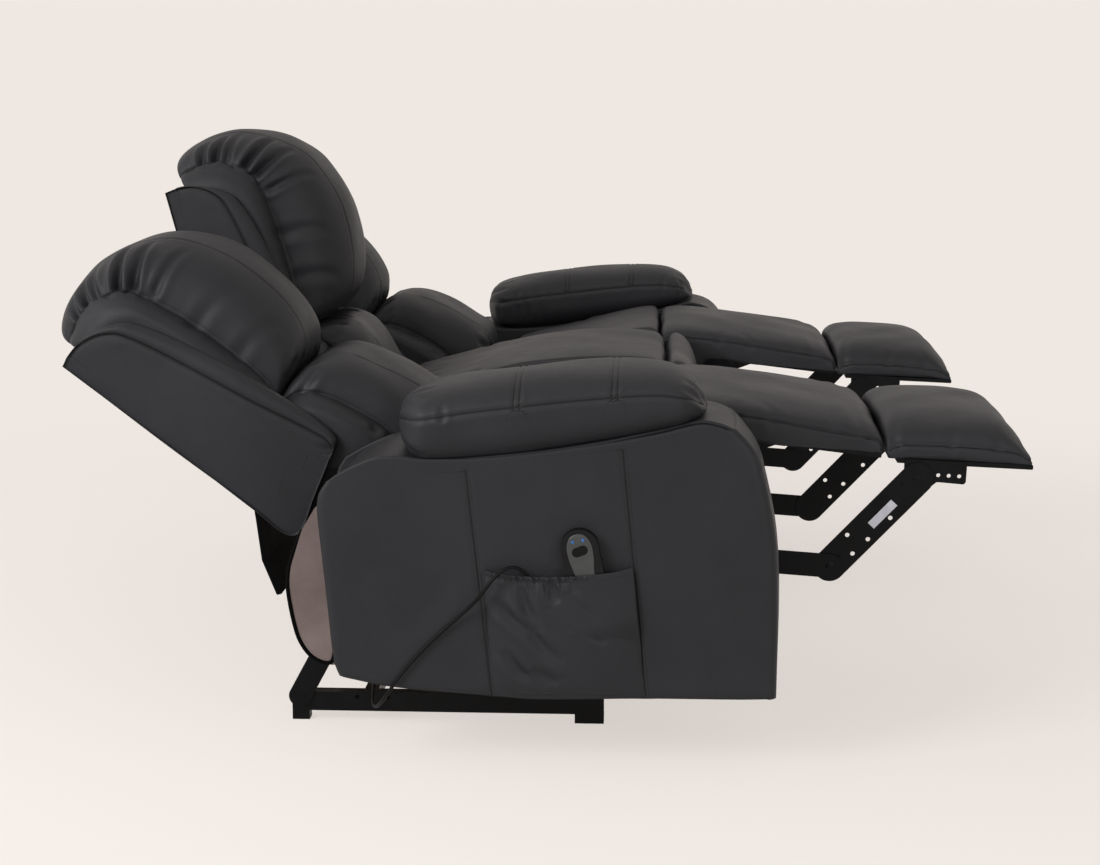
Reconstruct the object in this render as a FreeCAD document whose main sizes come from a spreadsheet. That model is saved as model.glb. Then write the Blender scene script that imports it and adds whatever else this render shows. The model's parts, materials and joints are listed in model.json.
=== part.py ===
import FreeCAD, Part
import math
import os
import Sketcher

# Three-seat reclining sofa: two power recliners with arms either side of a fixed middle seat.
# Millimetres, +Z up, the front faces -Y, the floor is Z 0, shown with both end seats reclined.
# Depths are counted from the front of the arms towards the back, and ORIGIN_DEPTH moves them to the
# middle of the open sofa. Heights are counted from the floor.

doc = FreeCAD.newDocument("reclining_sofa")
sheet = doc.addObject("Spreadsheet::Sheet", "Sizes")
nodes = []

SIZES = {
    # whole sofa
    "origin_depth": 418, "seat_pitch": 520, "seat_half": 255, "arm_outer": 1015, "soft_gap": 0.3,
    # side-to-side layers of one seat, from its centre outwards
    "pad_half": 246, "flange_gap": 1, "link_steel": 3, "layer_gap": 0.5, "side_steel": 3,
    "pin_radius": 5, "pin_clearance": 0.05, "back_pin_radius": 8, "base_pin_radius": 7,
    "guide_clearance": 0.3,
    # floor base and swing links
    "rail_inside": 212.5, "rail_width": 25, "rail_height": 35, "rail_ahead": 545, "rail_length": 560,
    "foot_height": 17,
    "rail_wall": 2.5, "foot_length_front": 52, "foot_length_rear": 31, "base_pin_depth": 838,
    "swing_length": 200, "swing_lean": 28.35, "swing_spacing": 360, "swing_steel": 5,
    "swing_width": 40, "tie_depth": 30, "tie_front": 127, "tie_rear": 477, "cross_front": 37,
    "cross_rear": 150, "rail_hole_radius": 4,
    "middle_leg_side": 40, "middle_leg_offset": 200, "middle_rail_past_pivot": 90,
    "rear_panel_half": 252, "rear_panel_thick": 12,
    # seat carriage
    "lower_pivot_depth": 193, "lower_pivot_height": 319, "calf_pivot_depth": 69.6,
    "calf_pivot_rise": 61.9, "back_pivot_depth": 720, "back_pivot_height": 406,
    "deck_front": 125, "deck_rear": 505, "deck_top": 439.7, "deck_thick": 15, "deck_rail_height": 62,
    "deck_rail_width": 20, "tube_side": 25, "front_tube_depth": 318, "rear_tube_depth": 640,
    "rear_tube_height": 230, "lobe_radius": 22,
    # footrest linkage
    "knee_depth": -100.1, "knee_height": 298.8, "lower_link_width": 42, "upper_link_width": 56,
    "foot_depth": -197, "foot_height_open": 490, "foot_slope": 2.5, "foot_length": 250,
    "foot_thick": 76, "upper_pivot_along": 52.4, "upper_pivot_below": 32.7, "board_thick": 8,
    "calf_board_rise": 26, "leg_bracket_length": 84, "leg_bracket_depth": 40,
    "calf_slope": 6.7, "calf_length": 255, "calf_thick": 88, "torque_radius": 14,
    "side_drop": 10,
    # seat and back cushions
    "seat_front": 66, "seat_thick": 150, "seat_rear_height": 516, "seat_swell": 14,
    "back_open_lean": 52.8, "back_closed_lean": 14.5, "back_length": 558, "back_pivot_front": 130,
    "shell_wall": 15, "wing_thick": 20, "wing_foot": 500, "hinge_steel": 4,
    "frame_depth": 30, "stile_width": 25, "pillow_split": 335,
    "pillow_seam": 180, "sweep_radius": 206,
    # arms
    "arm_wall": 18, "arm_inner_wall": 15, "arm_rear": 759, "arm_board": 15, "arm_pad_outer": 1035,
    "arm_pad_start": 121, "arm_pad_end": 621, "liner_offset": 860, "liner_thick": 12,
    "post_depth": 40,
    # power drive
    "motor_rail_width": 30, "motor_rail_height": 20, "motor_rail_start": 300, "motor_rail_end": 585,
    "gear_width": 70, "gear_length": 55, "gear_height": 60, "motor_radius": 27, "motor_length": 90,
    "block_width": 50, "block_length": 44, "block_height": 40, "block_start": 312,
    # side pocket, handset and its lead
    "pocket_depth": 24, "pocket_wall": 3, "handset_width": 62, "handset_length": 160,
    "handset_thick": 18, "handset_tilt": 12, "handset_depth": 300, "handset_height": 257,
    "rocker_length": 27, "rocker_width": 16, "rocker_tilt": 22, "rocker_up": 124,
    "rocker_thick": 4.5, "recess_depth": 5.5, "axle_radius": 1.5, "lead_diameter": 6,
    "grommet_wall": 5, "grommet_thick": 4,
}

for row, (alias, value) in enumerate(SIZES.items(), start=1):
    sheet.set("A%d" % row, alias)
    sheet.set("B%d" % row, str(value))
    sheet.setAlias("B%d" % row, alias)
doc.recompute()


def size(alias):
    return float(sheet.get(alias))


def cell(alias):
    return "Sizes." + alias


# Geometry helpers: every profile lies in a side view, as (depth, height) points.

def local(origin, angle, turn, point):
    first = math.radians(angle)
    second = math.radians(angle + 90 * turn)
    depth = origin[0] + point[0] * math.cos(first) + point[1] * math.cos(second)
    height = origin[1] + point[0] * math.sin(first) + point[1] * math.sin(second)
    return (depth, height)


def offset(point, angle, distance):
    return local(point, angle, 1, (distance, 0))


def unit(start, end):
    length = math.dist(start, end)
    return ((end[0] - start[0]) / length, (end[1] - start[1]) / length)


def rounded(points, radius):
    edges = []
    starts = []
    count = len(points)
    for index in range(count):
        before, here, after = points[index - 1], points[index], points[(index + 1) % count]
        into, out = unit(here, before), unit(here, after)
        half = math.acos(max(-1, min(1, into[0] * out[0] + into[1] * out[1]))) / 2
        reach = min(radius / math.tan(half), 0.45 * math.dist(here, before), 0.45 * math.dist(here, after))
        first = (here[0] + into[0] * reach, here[1] + into[1] * reach)
        last = (here[0] + out[0] * reach, here[1] + out[1] * reach)
        bisect = (into[0] + out[0], into[1] + out[1])
        length = math.hypot(*bisect)
        depth = reach / math.cos(half) - reach * math.tan(half)
        middle = (here[0] + bisect[0] / length * depth, here[1] + bisect[1] / length * depth)
        starts.append((first, middle, last))
    for index in range(count):
        first, middle, last = starts[index]
        edges.append(("arc", first, middle, last))
        edges.append(("line", last, starts[(index + 1) % count][0]))
    return edges


def slot(start, end, width):
    along = unit(start, end)
    side = (-along[1] * width / 2, along[0] * width / 2)
    tip = width / 2
    left = [(point[0] + side[0], point[1] + side[1]) for point in (start, end)]
    right = [(point[0] - side[0], point[1] - side[1]) for point in (start, end)]
    far = (end[0] + along[0] * tip, end[1] + along[1] * tip)
    near = (start[0] - along[0] * tip, start[1] - along[1] * tip)
    return [("line", left[0], left[1]), ("arc", left[1], far, right[1]),
            ("line", right[1], right[0]), ("arc", right[0], near, left[0])]


def swollen(points, bulges):
    area = sum(a[0] * b[1] - b[0] * a[1] for a, b in zip(points, points[1:] + points[:1]))
    side = 1 if area > 0 else -1
    edges = []
    for index, start in enumerate(points):
        end = points[(index + 1) % len(points)]
        along = unit(start, end)
        out = (along[1] * side * bulges[index], -along[0] * side * bulges[index])
        middle = ((start[0] + end[0]) / 2 + out[0], (start[1] + end[1]) / 2 + out[1])
        edges.append(("arc", start, middle, end) if bulges[index] else ("line", start, end))
    return edges


def place(obj, x, tilt=0.0, pivot=(0.0, 0.0)):
    turn = FreeCAD.Rotation(FreeCAD.Vector(1, 0, 0), tilt)
    base = FreeCAD.Vector(x, pivot[0] - size("origin_depth"), pivot[1])
    obj.Placement = FreeCAD.Placement(base, turn)


def name_node(obj, label):
    obj.Label = label
    nodes.append(obj)
    return obj


def group(label, parts):
    if len(parts) == 1:
        return name_node(parts[0], label)
    compound = doc.addObject("Part::Compound", "group_" + label)
    compound.Links = parts
    return name_node(compound, label)


# PartDesign plates: a sketch in the side view, padded across the sofa.

def draw(sketch, edges):
    ends = []
    for edge in edges:
        points = [FreeCAD.Vector(point[0], point[1], 0) for point in edge[1:]]
        if edge[0] == "line":
            index = sketch.addGeometry(Part.LineSegment(points[0], points[1]), False)
            ends.append((index, 1, 2))
            continue
        index = sketch.addGeometry(Part.Arc(points[0], points[1], points[2]), False)
        turns_left = (points[1] - points[0]).cross(points[2] - points[1]).z > 0
        ends.append((index, 1, 2) if turns_left else (index, 2, 1))
    for here, after in zip(ends, ends[1:] + ends[:1]):
        sketch.addConstraint(Sketcher.Constraint("Coincident", here[0], here[2], after[0], after[1]))


def circle(sketch, centre, radius):
    point = FreeCAD.Vector(centre[0], centre[1], 0)
    number = sketch.addGeometry(Part.Circle(point, FreeCAD.Vector(0, 0, 1), 1.0), False)
    constraint = sketch.addConstraint(Sketcher.Constraint("Radius", number, 1.0))
    sketch.setExpression("Constraints[%d]" % constraint, radius)
    sketch.addConstraint(Sketcher.Constraint("DistanceX", number, 3, centre[0]))
    sketch.addConstraint(Sketcher.Constraint("DistanceY", number, 3, centre[1]))


def new_sketch(body, name, plane="YZ_Plane"):
    sketch = body.newObject("Sketcher::SketchObject", name)
    base = next(item for item in body.Origin.OriginFeatures if item.Role == plane)
    sketch.AttachmentSupport = [(base, "")]
    sketch.MapMode = "FlatFace"
    return sketch


def feature(body, kind, name, sketch, length, reverse=False):
    step = body.newObject("PartDesign::" + kind, name)
    step.Profile = sketch
    step.Reversed = reverse
    step.setExpression("Length", length)
    sketch.Visibility = False
    return step


def plate(name, thick, edges, holes=(), studs=()):
    body = doc.addObject("PartDesign::Body", name)
    profile = new_sketch(body, name + "_profile")
    draw(profile, edges)
    for centre, radius in holes:
        circle(profile, centre, radius)
    feature(body, "Pad", name + "_pad", profile, thick)
    for number, (centre, radius, length, reverse) in enumerate(studs):
        ring = new_sketch(body, "%s_stud%d" % (name, number))
        circle(ring, centre, radius)
        reach = length if reverse else "%s + %s" % (thick, length)
        feature(body, "Pad", "%s_pin%d" % (name, number), ring, reach, reverse)
    return body


def plate_pair(name, centre, start, thick, edges, holes=(), studs=(), inward=True):
    pair = []
    for tag, side in (("out", 1), ("in", -1)):
        reverse = (side > 0) == inward
        pins = [(point, radius, length, reverse) for point, radius, length in studs]
        body = plate("%s_%s" % (name, tag), cell(thick), edges, holes, pins)
        thickness = size(thick)
        place(body, centre + (start if side > 0 else -start - thickness))
        pair.append(body)
    return pair


def block(name, length, width, height, corner):
    box = doc.addObject("Part::Box", name)
    for side, expression in zip(("Length", "Width", "Height"), (length, width, height)):
        box.setExpression(side, expression)
    place(box, corner[0], 0, (corner[1], corner[2]))
    return box


def tube(name, length, corner):
    side, wall = cell("tube_side"), cell("rail_wall")
    outer = block(name + "_outer", length, side, side, corner)
    inner_corner = (corner[0], corner[1] + size("rail_wall"), corner[2] + size("rail_wall"))
    hollow = "%s - 2 * %s" % (side, wall)
    inner = block(name + "_bore", length, hollow, hollow, inner_corner)
    cut = doc.addObject("Part::Cut", name)
    cut.Base = outer
    cut.Tool = inner
    return cut


# Soft forms: the side profile is lofted across the seat, low at the two sides and full in the middle.

def wire(edges, x):
    shapes = []
    for edge in edges:
        points = [FreeCAD.Vector(x, point[0], point[1]) for point in edge[1:]]
        curve = Part.LineSegment(*points) if edge[0] == "line" else Part.Arc(*points)
        shapes.append(curve.toShape())
    return Part.Wire(shapes)


def cushion(label, centre, half, side, crest, bulges, stations):
    sections = []
    for share, swell in stations:
        points = [(a[0] + (b[0] - a[0]) * swell, a[1] + (b[1] - a[1]) * swell)
                  for a, b in zip(side, crest)]
        sections.append(wire(swollen(points, bulges), half * share))
    pad = doc.addObject("Part::Feature", label)
    pad.Shape = Part.makeLoft(sections, True, True)
    place(pad, centre)
    return name_node(pad, label)


FLAT_TOP = [(-1, 0), (-0.94, 0.55), (-0.8, 0.85), (-0.45, 1), (0.45, 1), (0.8, 0.85), (0.94, 0.55), (1, 0)]


def pillow_stations():
    seam = size("pillow_seam") / (size("pad_half") - size("wing_thick"))
    inside = [0.97, 0.85, 0.6, 0.25]
    shares = [1] + [seam] + [seam * share for share in inside]
    swells = [0, 0.06] + [math.sqrt(1 - share ** 2) for share in inside]
    right = [(-share, swell) for share, swell in zip(shares, swells)]
    return right + [(share, swell) for share, swell in zip(reversed(shares), reversed(swells))]


# Places worked out from the sizes.

REAR_BASE = (size("base_pin_depth"), size("foot_height") + size("rail_height") * 0.8)
FRONT_BASE = (REAR_BASE[0] - size("swing_spacing"), REAR_BASE[1])
REAR_TOP = offset(REAR_BASE, 90 + size("swing_lean"), size("swing_length"))
FRONT_TOP = offset(FRONT_BASE, 90 + size("swing_lean"), size("swing_length"))
WALL_TRAVEL = 2 * size("swing_length") * math.sin(math.radians(size("swing_lean")))
LOWER_PIVOT = (size("lower_pivot_depth"), size("lower_pivot_height"))
KNEE = (size("knee_depth"), size("knee_height"))
CALF_PIVOT = (size("calf_pivot_depth"), size("deck_top") + size("calf_pivot_rise"))
BACK_PIVOT = (size("back_pivot_depth"), size("back_pivot_height"))
FOOT_START = (size("foot_depth"), size("foot_height_open"))

FLANGE_START = size("pad_half") + size("flange_gap")
UPPER_START = FLANGE_START + size("link_steel") + size("layer_gap")
LOWER_START = UPPER_START + size("link_steel") + size("layer_gap")
SIDE_START = LOWER_START + size("link_steel") + size("layer_gap")
SIDE_END = SIDE_START + size("side_steel")
RAIL_START = size("rail_inside")
RAIL_FRONT = size("base_pin_depth") - size("rail_ahead")
TIE_FRONT = RAIL_FRONT + size("tie_front")
TIE_REAR = RAIL_FRONT + size("tie_rear")
SWING_START = RAIL_START + size("rail_width") + size("layer_gap")
HOLE = cell("pin_radius") + " + " + cell("pin_clearance")


def foot(point):
    return local(FOOT_START, 180 + size("foot_slope"), -1, point)


def calf(point):
    return local(CALF_PIVOT, 180 + size("calf_slope"), -1, point)


UPPER_PIVOT = foot((size("upper_pivot_along"), -size("upper_pivot_below")))


# Floor base

def floor_base():
    rails, feet, crosses = [], [], []
    bottom = size("foot_height")
    start, end = RAIL_FRONT, RAIL_FRONT + size("rail_length")
    top = bottom + size("rail_height")
    profile = rounded([(start, bottom), (end, bottom), (end, top), (start, top)], 3)
    holes = [((REAR_BASE[0] - step, REAR_BASE[1] - 2), cell("rail_hole_radius")) for step in (103, 130, 158)]
    for side, centre in (("right", -size("seat_pitch")), ("left", size("seat_pitch"))):
        pins = [(REAR_BASE, cell("base_pin_radius"), "Sizes.swing_steel + 2 * Sizes.layer_gap"),
                (FRONT_BASE, cell("base_pin_radius"), "Sizes.swing_steel + 2 * Sizes.layer_gap")]
        rails += plate_pair(side + "_rail", centre, RAIL_START, "rail_width", profile, holes, pins, False)
        for tag, x in (("out", RAIL_START), ("in", -RAIL_START - size("rail_width"))):
            for place_tag, depth, length in (("front", start, "foot_length_front"),
                                             ("rear", end - size("foot_length_rear"), "foot_length_rear")):
                name = "%s_%s_foot_%s" % (side, place_tag, tag)
                feet.append(block(name, cell("rail_width"), cell(length), cell("foot_height"),
                                  (centre + x, depth, 0)))
        for tag, depth in (("front", start + size("cross_front")), ("rear", end - size("cross_rear"))):
            crosses.append(tube("%s_cross_%s" % (side, tag), str(2 * RAIL_START),
                                (centre - RAIL_START, depth, bottom + 3)))
    group("floor_rails", rails)
    group("base_feet", feet)
    group("floor_cross_tubes", crosses)
    ties = []
    reach = size("seat_pitch") - RAIL_START - size("rail_width")
    for tag, depth in (("front", TIE_FRONT), ("rear", TIE_REAR)):
        ties.append(block("tie_" + tag, str(2 * reach), cell("tie_depth"), cell("tie_depth"),
                          (-reach, depth, bottom + 3)))
    group("base_tie_rails", ties)


# One reclining seat: mechanism, cushions and back

def swing_links(prefix, centre):
    hole = "Sizes.base_pin_radius + Sizes.pin_clearance"
    for tag, low, high in (("rear", REAR_BASE, REAR_TOP), ("front", FRONT_BASE, FRONT_TOP)):
        name = "%s_%s_swing_links" % (prefix, tag)
        top_hole = hole if tag == "rear" else "Sizes.base_pin_radius + Sizes.guide_clearance"
        group(name, plate_pair(name, centre, SWING_START, "swing_steel", slot(low, high, size("swing_width")),
                               [(low, hole), (high, top_hole)]))


def side_plates(prefix, centre):
    lobe = size("lobe_radius")
    nose = (CALF_PIVOT[0] - lobe - 18, CALF_PIVOT[1] - lobe + 4)
    outline = [
        nose, (CALF_PIVOT[0] - lobe, CALF_PIVOT[1] + lobe), (CALF_PIVOT[0] + lobe, CALF_PIVOT[1] + lobe),
        (size("deck_front"), size("deck_top") + 30), (size("deck_rear"), size("deck_top")),
        (BACK_PIVOT[0] - lobe, BACK_PIVOT[1] + lobe), (BACK_PIVOT[0] + lobe, BACK_PIVOT[1] + lobe),
        (BACK_PIVOT[0] + 2 * lobe, BACK_PIVOT[1] - lobe), (REAR_TOP[0] + 1.5 * lobe, REAR_TOP[1] + lobe),
        (REAR_TOP[0] + lobe, REAR_TOP[1] - lobe), (REAR_TOP[0] - lobe, REAR_TOP[1] - lobe),
        (size("rear_tube_depth") - lobe, size("rear_tube_height") - lobe / 2),
        (FRONT_TOP[0] + 2 * lobe, FRONT_TOP[1] + lobe), (FRONT_TOP[0] + lobe, FRONT_TOP[1] - lobe),
        (FRONT_TOP[0] - lobe, FRONT_TOP[1] - lobe), (FRONT_TOP[0] - 2 * lobe, FRONT_TOP[1] + 2 * lobe),
        (LOWER_PIVOT[0], LOWER_PIVOT[1] - 1.5 * lobe), (LOWER_PIVOT[0] - 4 * lobe, LOWER_PIVOT[1] - lobe),
        (nose[0], LOWER_PIVOT[1] + lobe)]
    to_swing = "%g" % (SIDE_START - SWING_START)
    to_flange = "%g" % (SIDE_START - FLANGE_START)
    to_hinge = "%g" % (SIDE_START - HINGE_START)
    studs = [(REAR_TOP, cell("base_pin_radius"), to_swing), (FRONT_TOP, cell("base_pin_radius"), to_swing),
             (BACK_PIVOT, cell("back_pin_radius"), to_hinge), (CALF_PIVOT, cell("pin_radius"), to_flange),
             (LOWER_PIVOT, cell("pin_radius"), "Sizes.link_steel + Sizes.layer_gap")]
    name = prefix + "_side_plates"
    group(name, plate_pair(name, centre, SIDE_START, "side_steel", rounded(outline, 12), (), studs))


def seat_frame(prefix, centre):
    half = size("pad_half")
    front, rear, top = size("deck_front"), size("deck_rear"), size("deck_top")
    rail_top = top - size("deck_thick")
    rail_low = rail_top - size("deck_rail_height")
    span = "Sizes.deck_rear - Sizes.deck_front"
    name = prefix + "_seat_frame"
    parts = [block(name + "_deck", "2 * Sizes.pad_half", span, cell("deck_thick"),
                   (centre - half, front, rail_top))]
    for tag, x in (("low", centre - half), ("high", centre + half - size("deck_rail_width"))):
        parts.append(block("%s_rail_%s" % (name, tag), cell("deck_rail_width"), span,
                           cell("deck_rail_height"), (x, front, rail_low)))
    inside = "2 * Sizes.pad_half - 2 * Sizes.deck_rail_width"
    for tag, depth in (("front", front), ("rear", rear - size("deck_rail_width"))):
        parts.append(block("%s_cross_%s" % (name, tag), inside, cell("deck_rail_width"),
                           cell("deck_rail_height"), (centre - half + size("deck_rail_width"), depth, rail_low)))
    width = "%g" % (2 * SIDE_START)
    parts.append(tube(name + "_front_tube", width,
                      (centre - SIDE_START, size("front_tube_depth"), rail_low - size("tube_side"))))
    parts.append(tube(name + "_rear_tube", width,
                      (centre - SIDE_START, size("rear_tube_depth"), size("rear_tube_height"))))
    group(name, parts)


def seat_profile(shift, front):
    rear, top = size("sweep_radius") + 2, size("deck_top") + size("soft_gap")
    pivot = (BACK_PIVOT[0] + shift, BACK_PIVOT[1])

    def behind(height):
        return (pivot[0] - math.sqrt(rear ** 2 - (height - pivot[1]) ** 2), height)

    crown = top + size("seat_thick")
    return [(shift + 100, top), (shift + 98, CALF_PIVOT[1] + 2), (front + 4, CALF_PIVOT[1] + 16),
            (front, crown - 16), (front + 20, crown + 2), (shift + 199, crown + 4),
            (shift + 288, crown - 8), (shift + 423, crown - 43), behind(size("seat_rear_height")), behind(top)]


def lowered(points, chosen, drop):
    return [(point[0], point[1] - (drop if index in chosen else 0)) for index, point in enumerate(points)]


def seat_cushion(label, centre, half, shift, front):
    crest = seat_profile(shift, front)
    side = lowered(crest, (4, 5, 6, 7, 8), size("seat_swell"))
    bulges = [0, 0, 0, 2, 3, 2, 2, 2, -2.6, 0]
    cushion(label, centre, half, side, crest, bulges, FLAT_TOP)


def footrest(prefix, centre):
    width, length = size("upper_link_width"), math.dist(KNEE, UPPER_PIVOT)
    name = prefix + "_lower_leg_links"
    knee_pin = (KNEE, cell("pin_radius"), "Sizes.link_steel + Sizes.layer_gap")
    parts = plate_pair(name, centre, LOWER_START, "link_steel",
                       slot(LOWER_PIVOT, KNEE, size("lower_link_width")), [(LOWER_PIVOT, HOLE)], [knee_pin])
    shaft = doc.addObject("Part::Cylinder", name + "_torque_tube")
    shaft.setExpression("Radius", cell("torque_radius"))
    shaft.setExpression("Height", "%g" % (2 * LOWER_START))
    place(shaft, centre - LOWER_START, 0, LOWER_PIVOT)
    shaft.Placement.Rotation = FreeCAD.Rotation(FreeCAD.Vector(0, 1, 0), 90)
    group(name, parts + [shaft])
    name = prefix + "_upper_leg_links"
    along = unit(KNEE, UPPER_PIVOT)
    light = [(local(KNEE, math.degrees(math.atan2(along[1], along[0])), 1, (length * share, below)), "4")
             for share, below in ((0.2, 14), (0.37, 15), (0.62, 16), (0.28, -16))]
    group(name, plate_pair(name, centre, UPPER_START, "link_steel", slot(KNEE, UPPER_PIVOT, width),
                           [(KNEE, HOLE), (UPPER_PIVOT, HOLE)] + light))
    board_and_pad(prefix + "_foot", centre, foot, size("foot_length"), size("foot_thick"), 16)
    board_and_pad(prefix + "_calf", centre, calf, size("calf_length"), size("calf_thick"), 10)


def board_and_pad(name, centre, to_world, length, thick, start):
    board, gap, half = size("board_thick"), size("soft_gap"), FLANGE_START
    rise = 0 if name.endswith("foot") else size("calf_board_rise")
    corners = [(start, rise - gap - board), (length, rise - gap - board), (length, rise - gap), (start, rise - gap)]
    slab = plate(name + "_slab", "%g" % (2 * half), rounded([to_world(point) for point in corners], 2))
    place(slab, centre - half)
    along, below = size("upper_pivot_along"), size("upper_pivot_below")
    if name.endswith("foot"):
        reach, depth = along + size("leg_bracket_length"), size("leg_bracket_depth")
        shape = [(along - 24, -gap), (along - 22, -below - 15), (along + 20, -below - 18),
                 (along + 34, -depth + 2), (reach, -depth), (reach, -gap)]
        holes = [(to_world((reach - 12 - 18 * step, -depth + 14)), "3.5") for step in range(3)]
        studs = [(to_world((along, -below)), cell("pin_radius"), "Sizes.link_steel + Sizes.layer_gap")]
    else:
        shape = [(-12, 12), (-12, -12), (12, -12), (70, rise - board - gap), (90, rise - board - gap),
                 (90, rise - gap), (14, rise - gap)]
        holes = [(to_world((0, 0)), HOLE)]
        studs = []
    flanges = plate_pair(name + "_flange", centre, FLANGE_START, "link_steel",
                         rounded([to_world(point) for point in shape], 6), holes, studs, False)
    group(name + "_board", [slab] + flanges)
    if name.endswith("foot"):
        crest = [(5, 0), (6, 30), (24, thick - 18), (60, thick), (length - 62, thick),
                 (length - 18, thick - 24), (length, 26), (length, 0)]
        bulges = [0, 4, 3, 0, 3, 4, 2, 0]
    else:
        crest = [(4, rise), (4, thick - 28), (50, thick), (length - 70, thick - 2), (length - 24, thick - 16),
                 (length - 4, thick - 36), (length - 4, rise)]
        bulges = [0, 2, 0, 3, 2, 0, 0]
    drop = size("side_drop")
    side = [(point[0], point[1] - (drop if point[1] > rise + 20 else 0)) for point in crest]
    cushion(name + "_pad", centre, size("pad_half"), [to_world(point) for point in side],
            [to_world(point) for point in crest], bulges, FLAT_TOP)


HINGE_START = size("seat_half") - size("wing_thick") - size("hinge_steel")


def back(prefix, centre, pivot, lean):
    half, wall = size("seat_half"), size("shell_wall")
    start = local(pivot, 90 - lean, 1, (size("back_length"), -size("back_pivot_front")))

    def to_world(point):
        return local(start, 90 - lean, 1, point)

    foot_end = size("wing_foot")
    front = wall + size("frame_depth")
    wing = [(0, 0), (0, front), (-wall - 6, front), (-50, 106), (-foot_end + 43, 176), (-foot_end + 31, 151), (-foot_end, 24),
            (-foot_end + 74, 0)]
    tray = plate(prefix + "_back_tray", "2 * Sizes.seat_half", rounded([to_world(point) for point in wing], 6))
    place(tray, centre - half)
    hollow = plate(prefix + "_back_hollow", "2 * Sizes.seat_half - 2 * Sizes.wing_thick",
                   rounded([to_world(point) for point in ((-wall, wall), (-wall, 300), (-800, 300), (-800, wall))], 1))
    place(hollow, centre - half + size("wing_thick"))
    shell = doc.addObject("Part::Cut", prefix + "_back_shell")
    shell.Base, shell.Tool = tray, hollow
    name_node(shell, prefix + "_back_shell")
    back_frame(prefix, centre, pivot, to_world)
    back_pillows(prefix, centre, to_world)


def back_frame(prefix, centre, pivot, to_world):
    name = prefix + "_back_frame"
    wall, depth, stile = size("shell_wall"), size("frame_depth"), size("stile_width")
    low, high = -size("wing_foot") + 12, -wall - size("soft_gap")
    parts = []

    def bar(tag, bottom, top, thickness, x):
        points = ((bottom, wall), (top, wall), (top, wall + depth), (bottom, wall + depth))
        piece = plate(name + tag, thickness, rounded([to_world(point) for point in points], 1))
        place(piece, centre + x)
        parts.append(piece)

    bar("_stile_low", low, high, cell("stile_width"), -HINGE_START)
    bar("_stile_high", low, high, cell("stile_width"), HINGE_START - stile)
    inside = "%g" % (2 * (HINGE_START - stile))
    for number, along in enumerate((high - stile, -size("pillow_split"), low)):
        bar("_rail%d" % number, along, along + stile, inside, -HINGE_START + stile)
    lobe = size("lobe_radius")
    up, out = -size("back_length"), size("back_pivot_front")
    ear = [(up - lobe, out - lobe), (up + 70, wall + 4), (up + 190, wall + 4), (up + 190, wall + depth),
           (up + 60, out + lobe), (up - lobe, out + lobe)]
    pin = (pivot, "Sizes.back_pin_radius + Sizes.pin_clearance")
    parts += plate_pair(name + "_hinge", centre, HINGE_START, "hinge_steel",
                        rounded([to_world(point) for point in ear], 14), [pin])
    group(name, parts)


def back_pillows(prefix, centre, to_world):
    half = HINGE_START - size("flange_gap")
    base, split = size("shell_wall") + size("frame_depth") + size("soft_gap"), size("pillow_split")
    seam = [(-split + 10, base), (5, base), (9, 30), (24, 24), (30, 45), (31, 80), (22, 122), (-10, 158),
            (-50, 172), (-148, 182), (-split + 36, 178), (-split + 8, 150)]
    crest = [(-split + 10, base), (5, base), (10, 22), (58, 8), (84, 40), (90, 96), (84, 152), (44, 232),
             (-15, 283), (-132, 316), (-split + 51, 282), (-split + 6, 200)]
    bulges = [0, 0, 0, 2, 4, 3, 5, 8, 8, 8, 14, 0]
    cushion(prefix + "_head_pillow", centre, half, [to_world(point) for point in seam],
            [to_world(point) for point in crest], bulges, pillow_stations())
    reach = size("back_length")
    side = [(-split - 8, base), (-split - 4, 130), (-split - 24, 184), (-423, 214), (-504, 222), (-551, 214),
            (-reach - 30, 190), (-reach - 34, 150), (-reach + 10, 96), (-470, base)]
    full = [(-split - 8, base), (-split, 180), (-split - 14, 262), (-441, 316), (-515, 327),
            (-reach - 6, 322), (-reach - 46, 280), (-reach - 56, 210), (-reach - 4, 110), (-470, base)]
    bulges = [0, 6, 8, 3, 2, 6, 6, 4, 0, 0]
    cushion(prefix + "_lumbar_pillow", centre, half, [to_world(point) for point in side],
            [to_world(point) for point in full], bulges, pillow_stations())


# Arms

def arm_top():
    return [(128, 590), (197, 566), (294, 545), (457, 521), (580, 513), (629, 528)]


def arm(prefix, side):
    inner, outer = size("seat_pitch") + SIDE_END + size("soft_gap"), size("arm_outer")
    rear = size("arm_rear")
    outline = [(9, 125), (0, 265), (3, 349), (10, 415), (26, 491), (44, 540), (78, 580)] + arm_top()
    outline += [(703, 508), (rear - 18, 478), (rear, 439), (rear - 12, 298), (rear - 24, 160), (399, 121)]
    name = prefix + "_arm_panel"
    low = -outer if side < 0 else inner
    body = plate(name, "%g" % (outer - inner), rounded(outline, 10))
    place(body, low)
    cut = new_sketch(body, name + "_inside", "XY_Plane")
    near, far = size("arm_wall"), outer - inner - size("arm_inner_wall")
    if side > 0:
        near, far = size("arm_inner_wall"), outer - inner - size("arm_wall")
    deep = rear + 60
    draw(cut, [("line", (near, size("arm_wall")), (far, size("arm_wall"))),
               ("line", (far, size("arm_wall")), (far, deep)), ("line", (far, deep), (near, deep)),
               ("line", (near, deep), (near, size("arm_wall")))])
    hollow = feature(body, "Pocket", name + "_hollow", cut, "2000")
    hollow.Midplane = True
    name_node(body, name)
    arm_inside(prefix, side, inner, outer)
    arm_cushion(prefix, side, inner)


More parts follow.
